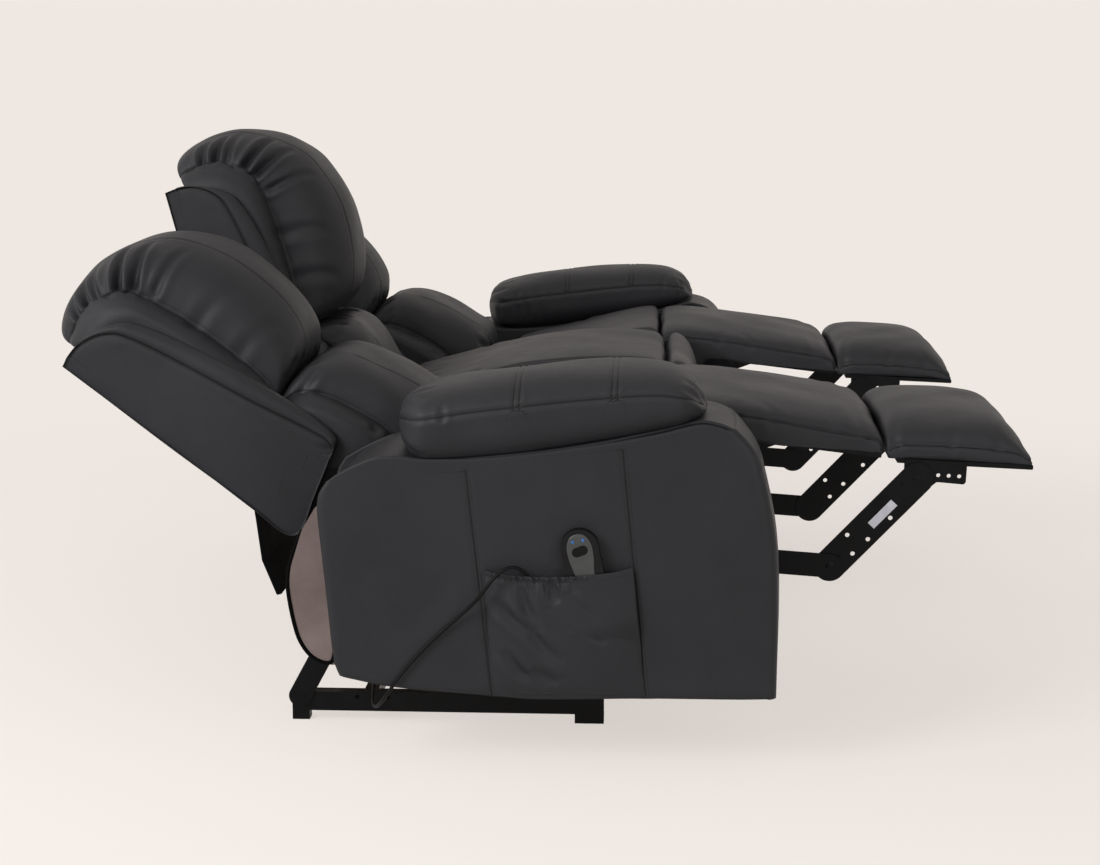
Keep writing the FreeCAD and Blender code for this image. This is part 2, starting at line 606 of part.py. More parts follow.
def arm_inside(prefix, side, inner, outer):
    inside = (inner + size("arm_inner_wall"), outer - size("arm_wall"))
    liner = size("liner_offset")
    thick = size("liner_thick")
    shape = [(60, 133), (767, 133), (798, 145), (819, 175), (835, 246), (839, 282), (811, 371), (786, 414),
             (60, 414)]
    panel = plate(prefix + "_arm_liner", cell("liner_thick"), rounded(shape, 14))
    place(panel, side * liner - thick / 2)
    name_node(panel, prefix + "_arm_liner")
    name = prefix + "_arm_frame"
    top = arm_top()[:-1]
    board = top + [(point[0], point[1] - size("arm_board")) for point in reversed(top)]
    lid = plate(name + "_lid", "%g" % (inside[1] - inside[0]),
                [("line", start, end) for start, end in zip(board, board[1:] + board[:1])])
    place(lid, min(side * inside[0], side * inside[1]))
    parts = [lid]
    depth = size("post_depth")
    for tag, start, low, high in (("front", 135, 150, 550), ("rear", 690, 175, 480)):
        for part, near, far in (("out", liner + thick / 2, inside[1]), ("in", inside[0], liner - thick / 2)):
            corner = (min(side * near, side * far), start, low)
            parts.append(block("%s_post_%s_%s" % (name, tag, part), "%g" % (far - near), cell("post_depth"),
                               "%g" % (high - low), corner))
    group(name, parts)


def arm_cushion(prefix, side, inner):
    outer = size("arm_pad_outer")
    middle, half = (outer + inner) / 2, (outer - inner) / 2
    start, end = size("arm_pad_start"), size("arm_pad_end")
    gap = size("soft_gap")
    base = [(point[0], point[1] + gap) for point in arm_top()[:-1]] + [(end - 8, 534 + gap)]
    crest = base + [(end, 575), (end - 4, 616), (550, 644), (432, 662), (298, 674), (198, 673),
                    (148, 652), (start, 618)]
    edge = [(point[0], point[1] + 18) for point in base]
    edge += [(end - 6, 585), (end - 14, 606), (545, 616), (432, 628), (298, 644), (200, 645), (158, 634),
             (start + 12, 620)]
    bulges = [0, 0, 0, 0, 0, 4, 5, 6, 3, 2, 2, 4, 4, 3]
    stations = [(-1, 0), (-0.9, 0.5), (-0.84, 0.72), (-0.5, 0.93), (0, 1), (0.5, 0.93), (0.84, 0.72), (0.9, 0.5),
                (1, 0)]
    base_flat = [(a, 1 if abs(a) <= 0.84 else b) for a, b in stations]
    sections = []
    for (share, swell), (_, floor) in zip(stations, base_flat):
        points = []
        for index, (low, high) in enumerate(zip(edge, crest)):
            factor = floor if index < len(base) else swell
            points.append((low[0] + (high[0] - low[0]) * factor, low[1] + (high[1] - low[1]) * factor))
        sections.append(wire(swollen(points, bulges), half * share))
    pad = doc.addObject("Part::Feature", prefix + "_arm_pad")
    pad.Shape = Part.makeLoft(sections, True, True)
    place(pad, side * middle)
    name_node(pad, prefix + "_arm_pad")


# Power drive under each reclining seat

def drive(prefix, centre):
    name = prefix + "_motor"
    rail_low = size("rear_tube_height") + 5
    start, end = size("motor_rail_start"), size("motor_rail_end")
    rail_wide, rail_high = size("motor_rail_width"), size("motor_rail_height")
    middle = rail_low + rail_high / 2
    rail = block(name + "_rail", cell("motor_rail_width"), "Sizes.motor_rail_end - Sizes.motor_rail_start",
                 cell("motor_rail_height"), (centre - rail_wide / 2, start, rail_low))
    gear = block(name + "_gearbox", cell("gear_width"), cell("gear_length"), cell("gear_height"),
                 (centre - size("gear_width") / 2, end, middle - size("gear_height") / 2))
    can = doc.addObject("Part::Cylinder", name + "_can")
    can.setExpression("Radius", cell("motor_radius"))
    can.setExpression("Height", cell("motor_length"))
    place(can, centre + size("gear_width") / 2, 0, (end + size("gear_length") / 2, middle))
    can.Placement.Rotation = FreeCAD.Rotation(FreeCAD.Vector(0, 1, 0), 90)
    group(name, [rail, gear, can])
    wide, high, gap = size("block_width"), size("block_height"), size("guide_clearance")
    shell = block(prefix + "_block_outer", cell("block_width"), cell("block_length"), cell("block_height"),
                  (centre - wide / 2, size("block_start"), middle - high / 2))
    bore = block(prefix + "_block_bore", "Sizes.motor_rail_width + 2 * Sizes.guide_clearance",
                 cell("block_length"), "Sizes.motor_rail_height + 2 * Sizes.guide_clearance",
                 (centre - rail_wide / 2 - gap, size("block_start"), rail_low - gap))
    cut = doc.addObject("Part::Cut", prefix + "_drive_block")
    cut.Base, cut.Tool = shell, bore
    name_node(cut, prefix + "_drive_block")


# Fixed middle seat

def middle_seat():
    shift, half, steel = WALL_TRAVEL, size("pad_half"), size("hinge_steel")
    side = size("seat_half") - size("wing_thick")
    thick = size("seat_half") - 2 - side
    front, top = shift - 2, size("deck_top")
    rear = BACK_PIVOT[0] + shift + size("middle_rail_past_pivot")
    rail_top = top - size("deck_thick")
    parts = [block("middle_deck", "2 * Sizes.pad_half", "%g" % (size("deck_rear") + shift - front),
                   cell("deck_thick"), (-half, front, rail_top))]
    low = rail_top - 160
    for tag, x in (("low", -side - thick), ("high", side)):
        parts.append(block("middle_rail_" + tag, "%g" % thick, "%g" % (rear - front), "160", (x, front, low)))
    for tag, depth in (("front", front), ("rear", TIE_REAR + size("tie_depth"))):
        parts.append(block("middle_cross_" + tag, "%g" % (2 * side), cell("deck_rail_width"), "100",
                           (-side, depth, low)))
    group("middle_seat_frame", parts)
    legs = []
    leg = size("middle_leg_side")
    for number, (x, depth) in enumerate(((-1, TIE_FRONT - leg), (1, TIE_FRONT - leg),
                                         (-1, TIE_REAR + size("tie_depth")), (1, TIE_REAR + size("tie_depth")))):
        height = rail_top if number < 2 else low
        legs.append(block("middle_leg%d" % number, cell("middle_leg_side"), cell("middle_leg_side"),
                          "%g" % height, (x * size("middle_leg_offset") - leg / 2, depth, 0)))
    group("middle_legs", legs)
    face = front - size("soft_gap")
    crest = [(face, 150), (face, 560), (face - 22, 588), (face - 58, 560), (face - 74, 480), (face - 78, 300),
             (face - 72, 150)]
    edge = [(face, 150), (face, 550), (face - 20, 570), (face - 48, 545), (face - 60, 475), (face - 64, 300),
            (face - 58, 150)]
    cushion("middle_front_panel", 0, size("seat_half") - 3, edge, crest, [0, 4, 6, 6, 4, 4, 0], FLAT_TOP)
    seat_cushion("middle_seat_cushion", 0, size("pad_half"), shift, front)
    back("middle", 0, (BACK_PIVOT[0] + shift, BACK_PIVOT[1]), size("back_closed_lean"))
    middle_rear_panel(rear + size("soft_gap"))


def middle_rear_panel(inner):
    thick = size("rear_panel_thick")
    outline = [(inner, 424), (inner, 262), (inner - 12, 180), (inner - 40, 104), (inner - 28, 101),
               (inner + 1, 173), (inner + thick, 262), (inner + 2 * thick, 340), (inner + 3 * thick, 424)]
    panel = plate("middle_rear_board", "2 * Sizes.rear_panel_half", rounded(outline, 3))
    place(panel, -size("rear_panel_half"))
    name_node(panel, "middle_rear_panel")


# Side pocket, handset with its rocker, and the lead to the drive

def side_pocket():
    hem_rear, hem_front = (487, 341), (239, 350)
    low_front, low_rear = (217, 131), (472, 130)
    outline = [hem_rear, (425, 335), (363, 333), (300, 336), hem_front, low_front, low_rear]
    depth, wall = size("pocket_depth"), size("pocket_wall")
    def straight(points):
        return [("line", start, end) for start, end in zip(points, points[1:] + points[:1])]

    outer_face = -size("arm_outer") - size("soft_gap") - depth
    body = plate("pocket_body", cell("pocket_depth"), straight(outline))
    place(body, outer_face)
    inside = [(hem_rear[0] - wall, 400), (hem_front[0] + wall, 400),
              (low_front[0] + wall, low_front[1] + wall), (low_rear[0] - wall, low_rear[1] + wall)]
    room = plate("pocket_room", cell("pocket_depth"), straight(inside))
    place(room, outer_face + wall)
    pouch = doc.addObject("Part::Cut", "right_side_pocket")
    pouch.Base, pouch.Tool = body, room
    name_node(pouch, "right_side_pocket")


def handset():
    wide, long, thick = size("handset_width"), size("handset_length"), size("handset_thick")
    start = (size("handset_depth"), size("handset_height"))
    x = -size("arm_outer") - size("soft_gap") - thick
    half = wide / 2
    outline = [("line", (half, 8), (half, long - half)), ("arc", (half, long - half), (0, long), (-half, long - half)),
               ("line", (-half, long - half), (-half, 8)), ("line", (-half, 8), (-half + 8, 0)),
               ("line", (-half + 8, 0), (half - 8, 0)), ("line", (half - 8, 0), (half, 8))]
    case = plate("handset_case", cell("handset_thick"), outline)
    tilt = size("rocker_tilt") - size("handset_tilt")
    centre = (0, size("rocker_up"))
    reach = (size("rocker_length") - size("rocker_width")) / 2
    ends = [offset(centre, -tilt, reach), offset(centre, 180 - tilt, reach)]
    room = new_sketch(case, "rocker_room")
    draw(room, slot(ends[0], ends[1], size("rocker_width") + 1))
    feature(case, "Pocket", "rocker_recess", room, cell("recess_depth"), True)
    axle_x = size("rocker_thick") / 2
    hole = doc.addObject("Part::Cylinder", "axle_hole")
    hole.setExpression("Radius", "Sizes.axle_radius + Sizes.pin_clearance")
    hole.setExpression("Height", "Sizes.rocker_width + 6")
    depth, height = local(start, -size("handset_tilt"), 1, centre)
    axis = FreeCAD.Vector(0, math.sin(math.radians(size("rocker_tilt"))), math.cos(math.radians(size("rocker_tilt"))))
    middle = FreeCAD.Vector(x + axle_x, depth - size("origin_depth"), height)
    turn = FreeCAD.Rotation(FreeCAD.Vector(1, 0, 0), -size("rocker_tilt"))
    hole.Placement = FreeCAD.Placement(middle - axis * (size("rocker_width") / 2 + 3), turn)
    place(case, x, -size("handset_tilt"), start)
    bored = doc.addObject("Part::Cut", "right_handset_case")
    bored.Base, bored.Tool = case, hole
    name_node(bored, "right_handset_case")
    flat = slot((-reach, 0), (reach, 0), size("rocker_width"))
    pill = plate("rocker_pill", cell("rocker_thick"), flat)
    pill.Placement = FreeCAD.Placement(middle - FreeCAD.Vector(axle_x + 1.5, 0, 0), turn)
    pin = doc.addObject("Part::Cylinder", "rocker_axle")
    pin.setExpression("Radius", cell("axle_radius"))
    pin.setExpression("Height", "Sizes.rocker_width + 5")
    pin.Placement = FreeCAD.Placement(middle - axis * (size("rocker_width") / 2 + 2.5), turn)
    rocker = doc.addObject("Part::Fuse", "right_handset_rocker")
    rocker.Base, rocker.Tool = pill, pin
    name_node(rocker, "right_handset_rocker")
    print("rocker hinge", [round(value, 3) for value in middle], [round(value, 4) for value in axis])


def lead_path():
    outside = -size("arm_outer") - size("pocket_depth") - 6
    on_panel = -size("arm_outer") - 7
    inside = -size("arm_outer") - 11
    liner = -size("liner_offset") - size("liner_thick") / 2
    start = (size("handset_depth"), size("handset_height"))
    below = offset(start, 270 - size("handset_tilt"), 18)
    return [(inside,) + start, (inside,) + below, (inside, 306, 217), (inside, 344, 212),
            (inside, 375, 240), (inside, 390, 280), (inside, 400, 318), (inside - 3, 418, 345),
            (outside + 6, 440, 354), (outside, 466, 336), (outside, 486, 306), (on_panel - 8, 508, 280),
            (on_panel, 540, 250), (on_panel, 572, 220), (on_panel, 602, 188), (on_panel, 628, 156),
            (on_panel + 4, 650, 122), (on_panel + 30, 668, 96), (on_panel + 66, 680, 92),
            (liner - 50, 683, 112), (liner - 30, 680, 158), (liner, 680, 158)]


def grommet(end):
    wall, thick = size("grommet_wall"), size("grommet_thick")
    bore = size("lead_diameter") / 2 + size("pin_clearance")
    ring = plate("grommet_ring", cell("grommet_thick"), slot((-0.5, 0), (0.5, 0), 2 * (bore + wall)),
                 [((0, 0), "Sizes.lead_diameter / 2 + 3 * Sizes.pin_clearance")])
    place(ring, end[0] - thick, 0, (end[1], end[2]))
    name_node(ring, "right_cord_grommet")


def lead():
    points = [FreeCAD.Vector(x, depth - size("origin_depth"), height) for x, depth, height in lead_path()]
    edges, last, radii = [], points[0], []
    for before, here, after in zip(points, points[1:], points[2:]):
        into, out = (before - here), (after - here)
        half_turn = (math.pi - into.getAngle(out)) / 2
        radius = 0.45 * min(into.Length, out.Length) / math.tan(half_turn)
        reach = radius * math.tan(half_turn)
        start = here + into.normalize() * reach
        end = here + out.normalize() * reach
        bisect = (into + out).normalize()
        middle = here + bisect * (radius / math.cos(half_turn) - radius)
        edges.append(Part.LineSegment(last, start).toShape())
        edges.append(Part.Arc(start, middle, end).toShape())
        last = end
        radii.append(round(radius, 1))
    edges.append(Part.LineSegment(last, points[-1]).toShape())
    spine = Part.Wire(edges)
    radius = size("lead_diameter") / 2
    ring = Part.Wire(Part.Circle(points[0], points[1] - points[0], radius).toShape())
    cord = doc.addObject("Part::Feature", "handset_cord")
    cord.Shape = spine.makePipeShell([ring], True, False)
    place(cord, 0, 0, (size("origin_depth"), 0))
    name_node(cord, "right_handset_cord")
    share = cord.Shape.Volume / (math.pi * radius ** 2 * spine.Length)
    print("lead length %.0f, volume share %.4f, radii" % (spine.Length, share), radii)


floor_base()
for seat_prefix, seat_side in (("right", -1), ("left", 1)):
    seat_centre = seat_side * size("seat_pitch")
    swing_links(seat_prefix, seat_centre)
    side_plates(seat_prefix, seat_centre)
    seat_frame(seat_prefix, seat_centre)
    seat_cushion(seat_prefix + "_seat_cushion", seat_centre, size("pad_half"), 0, size("seat_front"))
    footrest(seat_prefix, seat_centre)
    back(seat_prefix, seat_centre, BACK_PIVOT, size("back_open_lean"))
    arm(seat_prefix, seat_side)
    drive(seat_prefix, seat_centre)
middle_seat()
side_pocket()
handset()
lead()
grommet(lead_path()[-1])

doc.recompute()
for item in doc.Objects:
    if "Invalid" in item.State or "Error" in item.State:
        raise RuntimeError("%s failed: %s" % (item.Label, item.State))
os.makedirs("parts", exist_ok=True)
for node in nodes:
    shape = node.Shape
    if shape.isNull() or not shape.isValid() or not shape.Solids:
        raise RuntimeError("%s has no valid solid" % node.Label)
    shape.exportStep("parts/%s.step" % node.Label)
whole = Part.makeCompound([node.Shape for node in nodes]).BoundBox
print(len(nodes), "nodes", [round(value, 1) for value in (whole.XMin, whole.XMax, whole.YMin, whole.YMax,
                                                          whole.ZMin, whole.ZMax)])
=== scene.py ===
import json
import math
import bmesh
import bpy
import numpy as np
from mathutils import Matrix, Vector


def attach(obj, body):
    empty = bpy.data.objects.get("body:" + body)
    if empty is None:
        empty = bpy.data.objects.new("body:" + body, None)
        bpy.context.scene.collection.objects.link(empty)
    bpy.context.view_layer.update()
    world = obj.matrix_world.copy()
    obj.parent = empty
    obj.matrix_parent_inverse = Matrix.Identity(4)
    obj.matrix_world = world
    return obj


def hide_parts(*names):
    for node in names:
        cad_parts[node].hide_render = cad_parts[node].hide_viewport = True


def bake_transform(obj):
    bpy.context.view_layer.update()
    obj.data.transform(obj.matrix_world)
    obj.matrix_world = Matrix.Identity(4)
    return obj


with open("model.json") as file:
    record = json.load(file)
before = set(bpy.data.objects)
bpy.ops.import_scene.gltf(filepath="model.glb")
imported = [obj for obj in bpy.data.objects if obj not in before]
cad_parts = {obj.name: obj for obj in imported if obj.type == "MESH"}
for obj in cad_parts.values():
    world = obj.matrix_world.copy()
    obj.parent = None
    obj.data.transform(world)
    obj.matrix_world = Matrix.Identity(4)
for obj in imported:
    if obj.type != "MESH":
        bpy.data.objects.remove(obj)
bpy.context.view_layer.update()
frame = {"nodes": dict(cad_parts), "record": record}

# Dressing of a three-seat reclining sofa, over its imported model. Sizes below are in millimetres:
# x to the sitter's left, depth from the front of the arms to the back, height from the floor.

cadNodes = frame["nodes"]
sofa = {"originDepth": 418, "seatPitch": 520, "backLength": 558, "pivotFront": 130,
        "pivot": (720, 406), "wallTravel": 189.94, "openLean": 52.8, "closedLean": 14.5,
        "armInner": 780.8, "armOuter": 1015, "seamFar": 200.0}
seats = {"right": (-1, sofa["openLean"], 0), "middle": (0, sofa["closedLean"], sofa["wallTravel"]),
         "left": (1, sofa["openLean"], 0)}


def spot(x, depth, height):
    return Vector((x, depth - sofa["originDepth"], height)) / 1000


def bodyOf(seat, part):
    return "root" if seat == "middle" else seat + "_" + part


def turned(origin, angle, turn=1):
    first, second = math.radians(angle), math.radians(angle + 90 * turn)

    def toWorld(points):
        points = np.asarray(points, float)
        along, out = points[..., 0], points[..., 1]
        return np.stack([origin[0] + along * math.cos(first) + out * math.cos(second),
                         origin[1] + along * math.sin(first) + out * math.sin(second)], -1)
    return toWorld


def backPlace(seat):
    lean, shift = seats[seat][1], seats[seat][2]
    pivot = (sofa["pivot"][0] + shift, sofa["pivot"][1])
    start = turned(pivot, 90 - lean)((sofa["backLength"], -sofa["pivotFront"]))
    return turned(start, 90 - lean)


footPlace = turned((-197, 490), 182.5, -1)


# Camera, floor and lights

cameraView = {"place": (-4.3559, -0.2203, 1.1386), "yaw": 3.0448, "pitch": 9.6292, "lens": 68.47}
studio = {"backdrop": (0.863, 0.807, 0.761), "floor": (0.87, 0.82, 0.775), "fill": 0.6,
          "key": ((-3.6, 3.1, 2.7), 2.4, 190), "rim": ((-0.5, 4.6, 3.6), 3.0, 40), "front": ((-4.4, -2.6, 1.6), 3.0, 45)}


def nodeIn(tree, kind, place=(0, 0), values=None, **settings):
    node = tree.nodes.new(kind)
    node.location = place
    for key, value in settings.items():
        setattr(node, key, value)
    for key, value in (values or {}).items():
        node.inputs[key].default_value = value
    return node


def linked(name, data):
    piece = bpy.data.objects.new(name, data)
    bpy.context.scene.collection.objects.link(piece)
    return piece


def makeCamera():
    data = bpy.data.cameras.new("photoCamera")
    data.lens, data.sensor_width, data.sensor_fit = cameraView["lens"], 36, "HORIZONTAL"
    data.clip_end = 200
    camera = linked("photoCamera", data)
    yaw, pitch = math.radians(cameraView["yaw"]), math.radians(cameraView["pitch"])
    ahead = Vector((math.cos(yaw) * math.cos(pitch), math.sin(yaw) * math.cos(pitch), -math.sin(pitch)))
    camera.location = cameraView["place"]
    camera.rotation_euler = ahead.to_track_quat("-Z", "Y").to_euler()
    bpy.context.scene.camera = camera


def makeLight(name, place, size, watts):
    data = bpy.data.lights.new(name, "AREA")
    data.shape, data.size, data.energy = "DISK", size, watts
    lamp = linked(name, data)
    lamp.location = place
    lamp.rotation_euler = (Vector((0, 0, 0.5)) - Vector(place)).to_track_quat("-Z", "Y").to_euler()


def makeStudio():
    world = bpy.data.worlds.new("studioWorld")
    bpy.context.scene.world = world
    world.use_nodes = True
    tree = world.node_tree
    tree.nodes.clear()
    rays = nodeIn(tree, "ShaderNodeLightPath", (-800, 200))
    seen = nodeIn(tree, "ShaderNodeMath", (-600, 200), operation="MAXIMUM")
    through = nodeIn(tree, "ShaderNodeMath", (-400, 200), operation="MAXIMUM")
    tree.links.new(rays.outputs["Is Camera Ray"], seen.inputs[0])
    tree.links.new(rays.outputs["Is Glossy Ray"], seen.inputs[1])
    tree.links.new(seen.outputs[0], through.inputs[0])
    tree.links.new(rays.outputs["Is Transmission Ray"], through.inputs[1])
    fill = nodeIn(tree, "ShaderNodeBackground", (-200, 0), {"Color": (1, 0.985, 0.97, 1), "Strength": studio["fill"]})
    shown = nodeIn(tree, "ShaderNodeBackground", (-200, -160), {"Color": (*studio["backdrop"], 1), "Strength": 1})
    mix = nodeIn(tree, "ShaderNodeMixShader", (0, 0))
    out = nodeIn(tree, "ShaderNodeOutputWorld", (200, 0))
    tree.links.new(through.outputs[0], mix.inputs[0])
    tree.links.new(fill.outputs[0], mix.inputs[1])
    tree.links.new(shown.outputs[0], mix.inputs[2])
    tree.links.new(mix.outputs[0], out.inputs[0])
    for name in ("key", "rim", "front"):
        makeLight(name + "Light", *studio[name])
    mesh = bpy.data.meshes.new("studioFloor")
    mesh.from_pydata([(-30, -30, 0), (30, -30, 0), (30, 30, 0), (-30, 30, 0)], [], [(0, 1, 2, 3)])
    floor = linked("studioFloor", mesh)
    floor.location.z = -0.0005
    material = bpy.data.materials.new("paleStudioFloor")
    material.use_nodes = True
    tree = material.node_tree
    tree.nodes.clear()
    coords = nodeIn(tree, "ShaderNodeTexCoord", (-900, 0))
    reach = nodeIn(tree, "ShaderNodeVectorMath", (-700, 0), operation="LENGTH")
    fade = nodeIn(tree, "ShaderNodeMapRange", (-500, 0), {"From Min": 1.3, "From Max": 3.4, "To Min": 0.74},
                  interpolation_type="SMOOTHSTEP")
    paper = nodeIn(tree, "ShaderNodeBsdfDiffuse", (-300, -150), {"Color": (*studio["floor"], 1)})
    clear = nodeIn(tree, "ShaderNodeBsdfTransparent", (-300, -300))
    mix = nodeIn(tree, "ShaderNodeMixShader", (-100, 0))
    out = nodeIn(tree, "ShaderNodeOutputMaterial", (100, 0))
    tree.links.new(coords.outputs["Object"], reach.inputs[0])
    tree.links.new(reach.outputs["Value"], fade.inputs["Value"])
    tree.links.new(fade.outputs["Result"], mix.inputs[0])
    tree.links.new(paper.outputs[0], mix.inputs[1])
    tree.links.new(clear.outputs[0], mix.inputs[2])
    tree.links.new(mix.outputs[0], out.inputs[0])
    mesh.materials.append(material)


# Materials

finishes = {
    "leather": {"dark": (0.0126, 0.0127, 0.0149), "light": (0.0172, 0.0173, 0.0201), "rough": (0.46, 0.6),
                "grain": 640, "shine": 0.2},
    "steel": {"dark": (0.0009, 0.0009, 0.0011), "light": (0.0022, 0.0022, 0.0026), "rough": (0.3, 0.52),
              "shine": 0.12},
    "liner": {"dark": (0.125, 0.094, 0.088), "light": (0.19, 0.15, 0.14), "weave": 900, "shine": 0.1},
    "plastic": {"dark": (0.0015, 0.0015, 0.0018), "light": (0.003, 0.003, 0.0034), "rough": (0.3, 0.45), "shine": 0.2},
    "rubber": {"dark": (0.001, 0.001, 0.001), "light": (0.0022, 0.0022, 0.0022), "rough": (0.5, 0.65), "shine": 0.14},
    "cloth": {"dark": (0.001, 0.001, 0.0012), "light": (0.0022, 0.0022, 0.0025), "rough": (0.8, 0.95), "shine": 0.06},
    "wood": {"dark": (0.36, 0.24, 0.13), "light": (0.55, 0.4, 0.24), "rough": (0.6, 0.8)},
    "thread": {"dark": (0.02, 0.02, 0.021), "light": (0.034, 0.034, 0.036), "rough": (0.6, 0.75), "shine": 0.2},
    "faceplate": {"dark": (0.028, 0.03, 0.03), "light": (0.04, 0.042, 0.042), "rough": (0.35, 0.5)},
    "mark": {"dark": (0.02, 0.09, 0.3), "light": (0.03, 0.13, 0.4), "rough": (0.4, 0.5)},
    "sticker": {"dark": (0.42, 0.41, 0.45), "light": (0.52, 0.51, 0.55), "rough": (0.45, 0.6)},
}


def startMaterial(name, finish, patternScale, detail=6, stretch=(1, 1, 1)):
    material = bpy.data.materials.new(name)
    material.use_nodes = True
    tree = material.node_tree
    tree.nodes.clear()
    coords = nodeIn(tree, "ShaderNodeTexCoord", (-1500, 0))
    mapping = nodeIn(tree, "ShaderNodeMapping", (-1300, 0), {"Scale": stretch})
    tree.links.new(coords.outputs["Object"], mapping.inputs["Vector"])
    mottle = nodeIn(tree, "ShaderNodeTexNoise", (-1100, 200), {"Scale": patternScale, "Detail": detail, "Roughness": 0.6})
    tree.links.new(mapping.outputs[0], mottle.inputs["Vector"])
    colour = nodeIn(tree, "ShaderNodeMix", (-600, 200), data_type="RGBA")
    colour.inputs[6].default_value = (*finish["dark"], 1)
    colour.inputs[7].default_value = (*finish["light"], 1)
    spread = nodeIn(tree, "ShaderNodeMapRange", (-850, 300), {"From Min": 0.3, "From Max": 0.7})
    tree.links.new(mottle.outputs["Fac"], spread.inputs["Value"])
    tree.links.new(spread.outputs["Result"], colour.inputs[0])
    shader = nodeIn(tree, "ShaderNodeBsdfPrincipled", (0, 0))
    tree.links.new(colour.outputs[2], shader.inputs["Base Color"])
    if "rough" in finish:
        low, high = finish["rough"]
        rough = nodeIn(tree, "ShaderNodeMapRange", (-600, -100),
                       {"From Min": 0.3, "From Max": 0.7, "To Min": low, "To Max": high})
        tree.links.new(mottle.outputs["Fac"], rough.inputs["Value"])
        tree.links.new(rough.outputs["Result"], shader.inputs["Roughness"])
    out = nodeIn(tree, "ShaderNodeOutputMaterial", (300, 0))
    tree.links.new(shader.outputs[0], out.inputs[0])
    return material, tree, mapping, colour, shader


def addBump(tree, source, shader, strength, reach, under=None, place=(-250, -300)):
    bump = nodeIn(tree, "ShaderNodeBump", place, {"Strength": strength, "Distance": reach})
    tree.links.new(source, bump.inputs["Height"])
    if under is not None:
        tree.links.new(under.outputs[0], bump.inputs["Normal"])
    tree.links.new(bump.outputs[0], shader.inputs["Normal"])
    return bump


def leather(name, sewn=True):
    finish = finishes["leather"]
    material, tree, mapping, colour, shader = startMaterial(name, finish, 5.5)
    shader.inputs["Specular IOR Level"].default_value = finish["shine"]
    pores = nodeIn(tree, "ShaderNodeTexVoronoi", (-1100, -200), {"Scale": finish["grain"]}, feature="DISTANCE_TO_EDGE")
    pebble = nodeIn(tree, "ShaderNodeTexNoise", (-1100, -450), {"Scale": 170, "Detail": 3})
    drape = nodeIn(tree, "ShaderNodeTexNoise", (-1100, -700), {"Scale": 16, "Detail": 2})
    for texture in (pores, pebble, drape):
        tree.links.new(mapping.outputs[0], texture.inputs["Vector"])
    creased = nodeIn(tree, "ShaderNodeMapRange", (-850, -200), {"From Min": 0, "From Max": 0.12})
    tree.links.new(pores.outputs["Distance"], creased.inputs["Value"])
    soft = addBump(tree, drape.outputs["Fac"], shader, 0.35, 0.004, place=(-700, -700))
    middle = addBump(tree, pebble.outputs["Fac"], shader, 0.25, 0.0006, soft, (-500, -500))
    last = addBump(tree, creased.outputs["Result"], shader, 0.22, 0.0003, middle, (-300, -300))
    if not sewn:
        return material
    # Near each seam line the base colour is multiplied darker: painted shade in the seam crevice, on top of the pressed
    # groove and its bump.
    seam = nodeIn(tree, "ShaderNodeAttribute", (-1500, 600), attribute_name="seam")
    near = nodeIn(tree, "ShaderNodeMath", (-1300, 600), operation="ABSOLUTE")
    tree.links.new(seam.outputs["Fac"], near.inputs[0])
    gap = nodeIn(tree, "ShaderNodeMapRange", (-1100, 600), {"From Min": 0.3, "From Max": 2.4, "To Min": 0.22, "To Max": 1})
    tree.links.new(near.outputs[0], gap.inputs["Value"])
    shade = nodeIn(tree, "ShaderNodeMix", (-350, 300), data_type="RGBA", blend_type="MULTIPLY")
    shade.inputs[0].default_value = 1
    tree.links.new(colour.outputs[2], shade.inputs[6])
    tree.links.new(gap.outputs["Result"], shade.inputs[7])
    tree.links.new(shade.outputs[2], shader.inputs["Base Color"])
    addBump(tree, gap.outputs["Result"], shader, 0.6, 0.0012, last, (-150, -200))
    return material


def plainFinish(name, finishName, patternScale, grainScale, grainDepth, metal=0.0, stretch=(1, 1, 1)):
    finish = finishes[finishName]
    material, tree, mapping, colour, shader = startMaterial(name, finish, patternScale, stretch=stretch)
    shader.inputs["Metallic"].default_value = metal
    shader.inputs["Specular IOR Level"].default_value = finish.get("shine", 0.4)
    grain = nodeIn(tree, "ShaderNodeTexNoise", (-1100, -300), {"Scale": grainScale, "Detail": 4})
    tree.links.new(mapping.outputs[0], grain.inputs["Vector"])
    addBump(tree, grain.outputs["Fac"], shader, 0.3, grainDepth)
    return material


def wovenFinish(name, finishName, weaveScale):
    material, tree, mapping, colour, shader = startMaterial(name, finishes[finishName], 9)
    shader.inputs["Roughness"].default_value = 0.9
    shader.inputs["Specular IOR Level"].default_value = finishes[finishName]["shine"]
    waves = []
    for number, direction in enumerate(("Y", "Z")):
        wave = nodeIn(tree, "ShaderNodeTexWave", (-1100, -200 - 250 * number), {"Scale": weaveScale / 6.28, "Distortion": 0.6},
                      bands_direction=direction)
        tree.links.new(mapping.outputs[0], wave.inputs["Vector"])
        waves.append(wave)
    both = nodeIn(tree, "ShaderNodeMath", (-700, -300), operation="MULTIPLY")
    tree.links.new(waves[0].outputs["Fac"], both.inputs[0])
    tree.links.new(waves[1].outputs["Fac"], both.inputs[1])
    addBump(tree, both.outputs[0], shader, 0.4, 0.0004)
    return material


